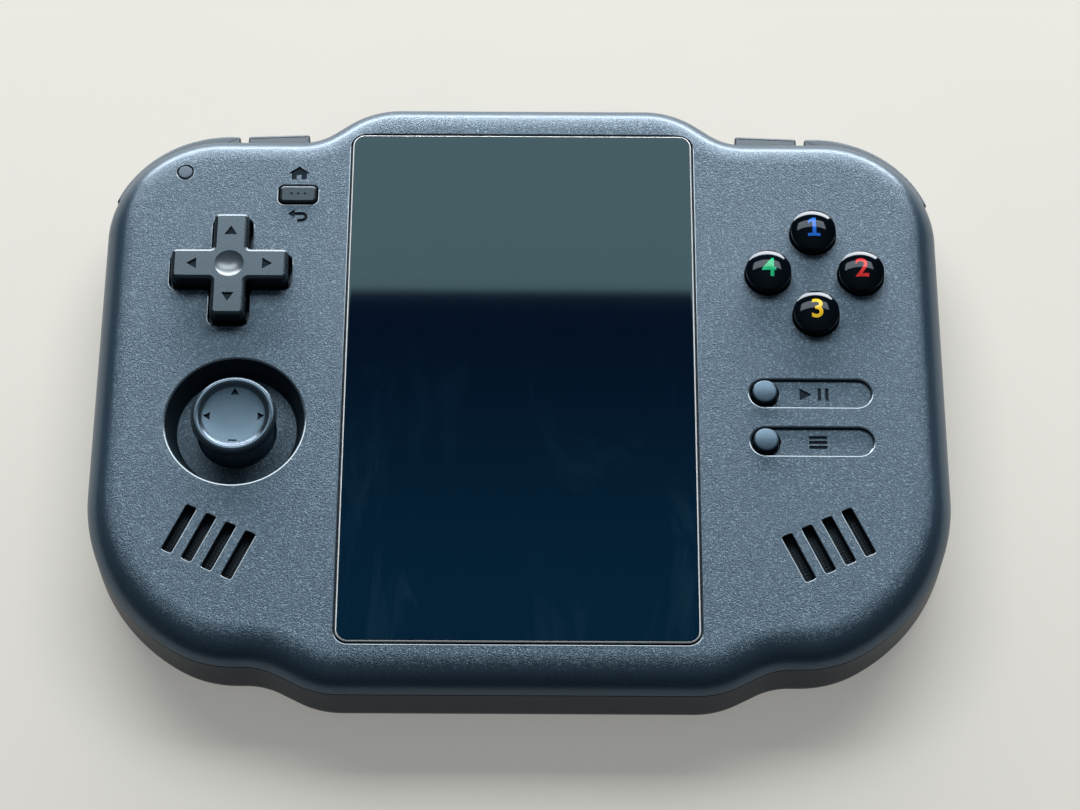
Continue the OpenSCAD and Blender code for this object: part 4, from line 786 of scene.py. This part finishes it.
refinish(inner_abs, "left_speaker", "right_speaker")

# Board. A green circuit board with tinned pads and a stamped shield, screwed to the front shell. It carries
# all switches, the plugs and the sockets.

# Solder mask: glossy green with the tracks showing through as lighter lines.
solder_mask, tree, where = new_finish("green_solder_mask")
tracks = add(tree, "ShaderNodeTexBrick", {
    "Vector": where, "Scale": 1 / (6 * MM), "Color1": linear("#0f4a2c"), "Color2": linear("#125a35"),
    "Mortar": linear("#2f7d4f"), "Mortar Size": 0.03, "Brick Width": 0.7, "Row Height": 0.22})
coat(tree, tracks.outputs["Color"], ranged(tree, noise(tree, where, 3, 3), end=(0.25, 0.45)))
refinish(solder_mask, "main_board")
refinish(steel, "shield_can", "board_screws", "bumper_pins")

# On the board: black switch bodies with a weak sheen, a warm ivory plug, and the cell's dull silver foil.
refinish(moulded("switch_bodies", "#1d1f22", "#34373b", 0.5, 0.45, 0.02),
         "shoulder_switches", "side_switches")
refinish(moulded("ivory_nylon_plug", "#d8d0bb", "#e6e0cf", 0.5, 0.5, 0.02), "battery_plug")
refinish(moulded("battery_foil_wrap", "#8d949a", "#a8afb5", 0.6, 0.35, 0.02, 1.5, 0.6), "battery")

# Shoulder keys. Slim satin slabs in the upper corners: the outer ones turn on pins and wrap round the corner,
# the inner ones slide straight in. Springy stems behind them press switches on the board.
shoulder_low, shoulder_high = box_mm("right_trigger")
bumper_stand, bumper_swell, bumper_in = 0.65, 1.1, 2.8
bumper_start, bumper_end_x, trigger_back = 23, 47.6, 43.4
pin_c, eye_r = (63.122, 34.1), 1.9
bumper_turns = [bumper_start + (90 - bumper_start) * i / 36 for i in range(37)]
bumper_outer = [Vector(arc(upper_c, upper_r + bumper_stand + bumper_swell * i / 36, a, a, 1)[0])
                for i, a in enumerate(bumper_turns)]
bumper_inner = list(reversed(arc(upper_c, upper_r - bumper_in, bumper_start, 90, 30)))
bumper_plan = (bumper_outer + arc((bumper_end_x + 0.5, 47.45), 0.5, 90, 180, 5)
               + [Vector((bumper_end_x, trigger_back))] + bumper_inner)
trigger_plan = ([Vector((35.9, trigger_back)), Vector((46.25, trigger_back))]
                + arc((45.8, 47.57), 0.45, 0, 88, 5) + arc((36.35, 47.95), 0.45, 88, 180, 5))

# Shoulder keys' ABS: a greyer satin plastic, which parts them from the case in the same light.
shoulder_abs = moulded("shoulder_key_abs", "#232b33", "#333c46", 0.3, 0.4, 0.02, 1.68, sheen="#dcecfa")
shoulder_levels = ([(0.9, shoulder_low.z)] + round_bottom(0.55, shoulder_low.z, steps=5)
                   + round_top(0.4, shoulder_high.z, steps=5) + [(0.6, shoulder_high.z)])
for side, mirror in (("left", -1), ("right", 1)):
    for kind, plan in (("bumper", bumper_plan), ("trigger", trigger_plan)):
        turned_plan = [Vector((p.x * mirror, p.y)) for p in plan][::mirror]
        slab = loft(f"{side}_{kind}_slab", turned_plan, shoulder_levels)
        if kind == "bumper":
            eye = [(eye_r, shoulder_low.z + 0.6), (eye_r, shoulder_high.z - 0.5)]
            carve(slab, [turned("eye", (pin_c[0] * mirror, pin_c[1]), eye, 40)], "UNION")
        dress(slab, shoulder_abs, f"{side}_{kind}", "dark_keys", f"{side}_{kind}")

# Sockets and side keys. A stamped steel charging socket, a headphone socket and a card reader sit on the
# board behind the case wall, and three small satin keys in the top wall press switches beside them.
refinish(steel, "usb_socket", "card_reader")
refinish(inner_abs, "headphone_socket")
side_names = ["power_button", "volume_up_button", "volume_down_button"]
side_w, side_h, side_r, side_gap = 5.0, 2.2, 0.7, 0.25
stand_up = Matrix.Rotation(-math.pi / 2, 4, "X")


def from_top_wall(piece):
    """Turns a piece drawn flat so that it stands out of the top wall."""
    piece.data.transform(stand_up)
    return piece


for name in side_names:
    low, high = box_mm(name)
    at = (low + high) / 2
    key = from_top_wall(loft(name + "_cap", rounded((at.x, -at.z), side_w, side_h, side_r),
                             [(0, low.y)] + round_top(0.35, high.y, steps=5) + [(0.5, high.y)]))
    dress(key, satin_abs, name, "dark_keys", name)

# Contacts of the charging socket: bright gilded strips side by side on its tongue, twelve at 0.5 mm.
usb_low, usb_high = box_mm("usb_socket")
usb_c = (usb_low + usb_high) / 2
strip_w, strip_l, strip_pitch, strip_count = 0.28, 3.0, 0.5, 12
strip = loft("strip", rounded((0, 0), strip_w, strip_l, 0.1, 3), [(0, 0), (0, 0.04), (0.05, 0.06)])
gilding = moulded("gilded_contacts", "#c79a3a", "#e0b95a", 0.6, 0.25, 0.004, 1.5, 1.0)
contacts_c = Vector((usb_c.x, usb_high.y - 2.6, usb_c.z + 0.35))
contacts = grown("socket_contacts", even_row, {
    "Piece": strip, "Count": strip_count, "Pitch": strip_pitch * MM, "Turn": 0.0, "Middle": contacts_c * MM,
    "Finish": gilding})
bpy.data.objects.remove(strip)
dress(contacts, gilding, "case", "steel")

# Rear shell. The deep tray of the case, moulded in ABS with the same grain, with a broad round edge to its
# flat back. Posts inside take the case screws, and its walls are open for the shoulder keys and sockets.
back_r, post_r, post_top = 5.0, 3.2, 10.0
screw_places = [(57.2, 32.6), (30.2, 42.4), (47.0, -40.0)]
screw_places += [(-x, y) for x, y in screw_places]
rear_shell = loft("rear_shell_tray", case_plan, [(back_r + 0.8, 0)] + round_bottom(back_r, 0, steps=20)
                  + round_top(edge_r, seam_z, steps=3))
rear_void = loft("void", case_plan, round_bottom(3.2, wall, wall) + [(wall, seam_z + 1)])
carve(rear_shell, [rear_void])
posts = [turned("post", at, [(post_r, wall / 2), (post_r, post_top)], 48) for at in screw_places]
carve(rear_shell, posts, "UNION")
shoulder_cut_z, shoulder_cut_x, shoulder_cut_turn = 4.2, 35.45, 21.6
shoulder_gap = 0.4
cut_inner = list(reversed(arc(upper_c, upper_r - bumper_in - shoulder_gap, shoulder_cut_turn, 90, 30)))
cut_plan = (arc(upper_c, upper_r + 6, shoulder_cut_turn, 90, 30)
            + [Vector((shoulder_cut_x, wing_top + 8)), Vector((shoulder_cut_x, trigger_back - shoulder_gap))]
            + cut_inner)
openings = []
for mirror in (-1, 1):
    plan = [Vector((p.x * mirror, p.y)) for p in cut_plan][::mirror]
    openings.append(loft("shoulder_cut", plan, [(0, shoulder_cut_z), (0, seam_z + 1)]))
through = [(0, head_y - 4), (0, head_y - 0.2), (-0.2, head_y), (-0.2, head_y + 2)]
for name in side_names:
    at = middle_mm(name)
    side_plan = rounded((at.x, -at.z), side_w + 2 * side_gap, side_h + 2 * side_gap, side_r + side_gap)
    openings.append(from_top_wall(loft("side_opening", side_plan, through)))
usb_plan = rounded((usb_c.x, -usb_c.z), 9.3, 3.6, 1.75)
openings.append(from_top_wall(loft("usb_opening", usb_plan, through)))
jack_x, jack_z, jack_r = 16.5, 5.7, 2.85
jack_hole = [(jack_r - d, y) for d, y in through]
openings.append(from_top_wall(turned("jack_opening", (jack_x, -jack_z), jack_hole)))
card_y, card_z, card_w, card_h = 2.0, 7.85, 12.2, 1.5
card_slot = loft("card_opening", rounded((-card_z, card_y), card_h, card_w, 0.4, 4),
                 [(0, half_w - 4), (0, half_w - 0.2), (-0.2, half_w), (-0.2, half_w + 2)])
card_slot.data.transform(Matrix.Rotation(math.pi / 2, 4, "Y"))
openings.append(card_slot)
recess_r, recess_h = 2.0, 2.4
screw_recess = [(recess_r + 0.25, -1), (recess_r + 0.25, 0), (recess_r, 0.25), (recess_r, recess_h)]
openings += [turned("screw_recess", at, screw_recess, 48) for at in screw_places]
carve(rear_shell, openings)

# Tray ABS: slate like the case but without mica, duller, and painted darker, a painted shade, so the wall
# below the seam sinks back.
shaded_tray_abs = moulded("grained_tray_painted_shade_abs", "#0d1720", "#182531", 0.22, 0.42, 0.06, 1.4, sheen="#bcd6ee")
dress(rear_shell, shaded_tray_abs, "case", "shell", "rear_shell")

# Case screws. Six small pan-head screws with a cross recess, sunk in the back under the posts.
# They hold the two shells together.
screw_low, screw_high = box_mm("case_screws")
head_r, head_h, shank_r = 1.8, 1.2, 0.8
screw_form = [(head_r - 0.5, screw_low.z), (head_r - 0.15, screw_low.z + 0.15),
              (head_r, screw_low.z + 0.45), (head_r, screw_low.z + head_h),
              (shank_r, screw_low.z + head_h), (shank_r, screw_high.z)]
screw = turned("case_screw", (0, 0), screw_form, 40)
cross_l, cross_w, cross_depth = 2.0, 0.42, 0.7
carve(screw, [loft("slot", rounded((0, 0), w, h, 0.15, 2),
                   [(0, screw_low.z - 1), (0, screw_low.z + cross_depth)])
              for w, h in ((cross_l, cross_w), (cross_w, cross_l))])
spots_tree = bpy.data.node_groups.new("pieces_on_points", "GeometryNodeTree")
spots_tree.interface.new_socket("Geometry", in_out="OUTPUT", socket_type="NodeSocketGeometry")
for label, kind in (("Geometry", "NodeSocketGeometry"), ("Piece", "NodeSocketObject"),
                    ("Finish", "NodeSocketMaterial")):
    spots_tree.interface.new_socket(label, in_out="INPUT", socket_type=kind)
given = add(spots_tree, "NodeGroupInput").outputs
piece = add(spots_tree, "GeometryNodeObjectInfo", {"Object": given["Piece"], "As Instance": True})
spots = add(spots_tree, "GeometryNodeInstanceOnPoints",
            {"Points": given["Geometry"], "Instance": piece.outputs["Geometry"]})
plain = add(spots_tree, "GeometryNodeRealizeInstances", {"Geometry": spots.outputs[0]})
painted = add(spots_tree, "GeometryNodeSetMaterial",
              {"Geometry": plain.outputs[0], "Material": given["Finish"]})
add(spots_tree, "NodeGroupOutput", {"Geometry": painted.outputs[0]})
screw_points = bpy.data.meshes.new("screw_points")
screw_points.from_pydata([(x * MM, y * MM, 0) for x, y in screw_places], [], [])

# Blackened steel: dark metal whose reflections stay a little grey.
black_steel = moulded("blackened_steel", "#2b2d30", "#44474b", 0.3, 0.35, 0.006, 1.5, 1.0)
case_screws = grown("case_screw_set", spots_tree, {"Piece": screw, "Finish": black_steel}, screw_points)
bpy.data.objects.remove(screw)
dress(case_screws, black_steel, "case", "steel", "case_screws")

# Stage. A plain pale table top, a broad soft card overhead behind the object, a lower bright window behind
# that, and a weak cool fill that comes mostly from above.
table_half, table_z = 3.0, -0.05 * MM
floor_mesh = bpy.data.meshes.new("floor")
table_corners = [(x * table_half, y * table_half, table_z) for x, y in ((-1, -1), (1, -1), (1, 1), (-1, 1))]
floor_mesh.from_pydata(table_corners, [], [(0, 1, 2, 3)])
floor = place("floor", floor_mesh)

# Matt pale table: even, without a mirror of the lamps. A weak glow that only camera, mirror and transmission
# rays see lifts the shade in front of the object, and lights nothing.
paper, tree, where = new_finish("matt_pale_table")
ray = add(tree, "ShaderNodeLightPath").outputs
mirrored = worked(tree, "MAXIMUM", ray["Is Glossy Ray"], ray["Is Transmission Ray"])
seen = worked(tree, "MAXIMUM", ray["Is Camera Ray"], mirrored)
coat(tree, tinted(tree, noise(tree, where, 60, 3), "#b5b4b0", "#bbbab6"), 0.9, {
    "Specular IOR Level": 0.1, "Emission Color": linear("#d8d6d0"),
    "Emission Strength": worked(tree, "MULTIPLY", seen, 0.36)})
floor_mesh.materials.append(paper)


def soft_light(name, position, aim, size, power, colour):
    """A rectangular area light that faces a point, sizes in metres."""
    lamp = bpy.data.lights.new(name, "AREA")
    lamp.shape, lamp.size, lamp.size_y, lamp.energy = "RECTANGLE", *size, power
    lamp.color = linear(colour)[:3]
    light = place(name, lamp)
    light.location = position
    light.rotation_euler = (Vector(aim) - Vector(position)).to_track_quat("-Z", "Y").to_euler()
    light.visible_camera = False


soft_light("overhead_card", (0, 0.824, 0.9), (0, 0.824, 0), (1.5, 0.652), 23.0, "#fbfbf7")
soft_light("low_window", (0, 3.6, 0.55), (0, 0, 0.1), (4.7, 0.97), 278.0, "#ffffff")

world = bpy.data.worlds.new("cool_fill")
world.use_nodes = True
tree = world.node_tree
tree.nodes.clear()
sky_way = add(tree, "ShaderNodeTexCoord").outputs["Generated"]
height = add(tree, "ShaderNodeSeparateXYZ", {"Vector": sky_way}).outputs["Z"]
overhead = worked(tree, "POWER", worked(tree, "MAXIMUM", height, 0.0), 3.0)
level = ranged(tree, overhead, end=(0.05, 0.3))
sky = add(tree, "ShaderNodeBackground", {"Color": linear("#dfe7ee"), "Strength": level}).outputs[0]
add(tree, "ShaderNodeOutputWorld", {"Surface": sky})
bpy.context.scene.world = world
bpy.context.scene.view_settings.view_transform = "Standard"

camera_data = bpy.data.cameras.new("photo_camera")
camera_data.lens, camera_data.sensor_width, camera_data.sensor_fit = 98.33, 36, "HORIZONTAL"
camera = place("photo_camera", camera_data)
camera.location = Vector((3.38, -214.42, 438.68)) * MM
camera.rotation_euler = [math.radians(a) for a in (26.408, -0.113, 0.270)]
bpy.context.scene.camera = camera
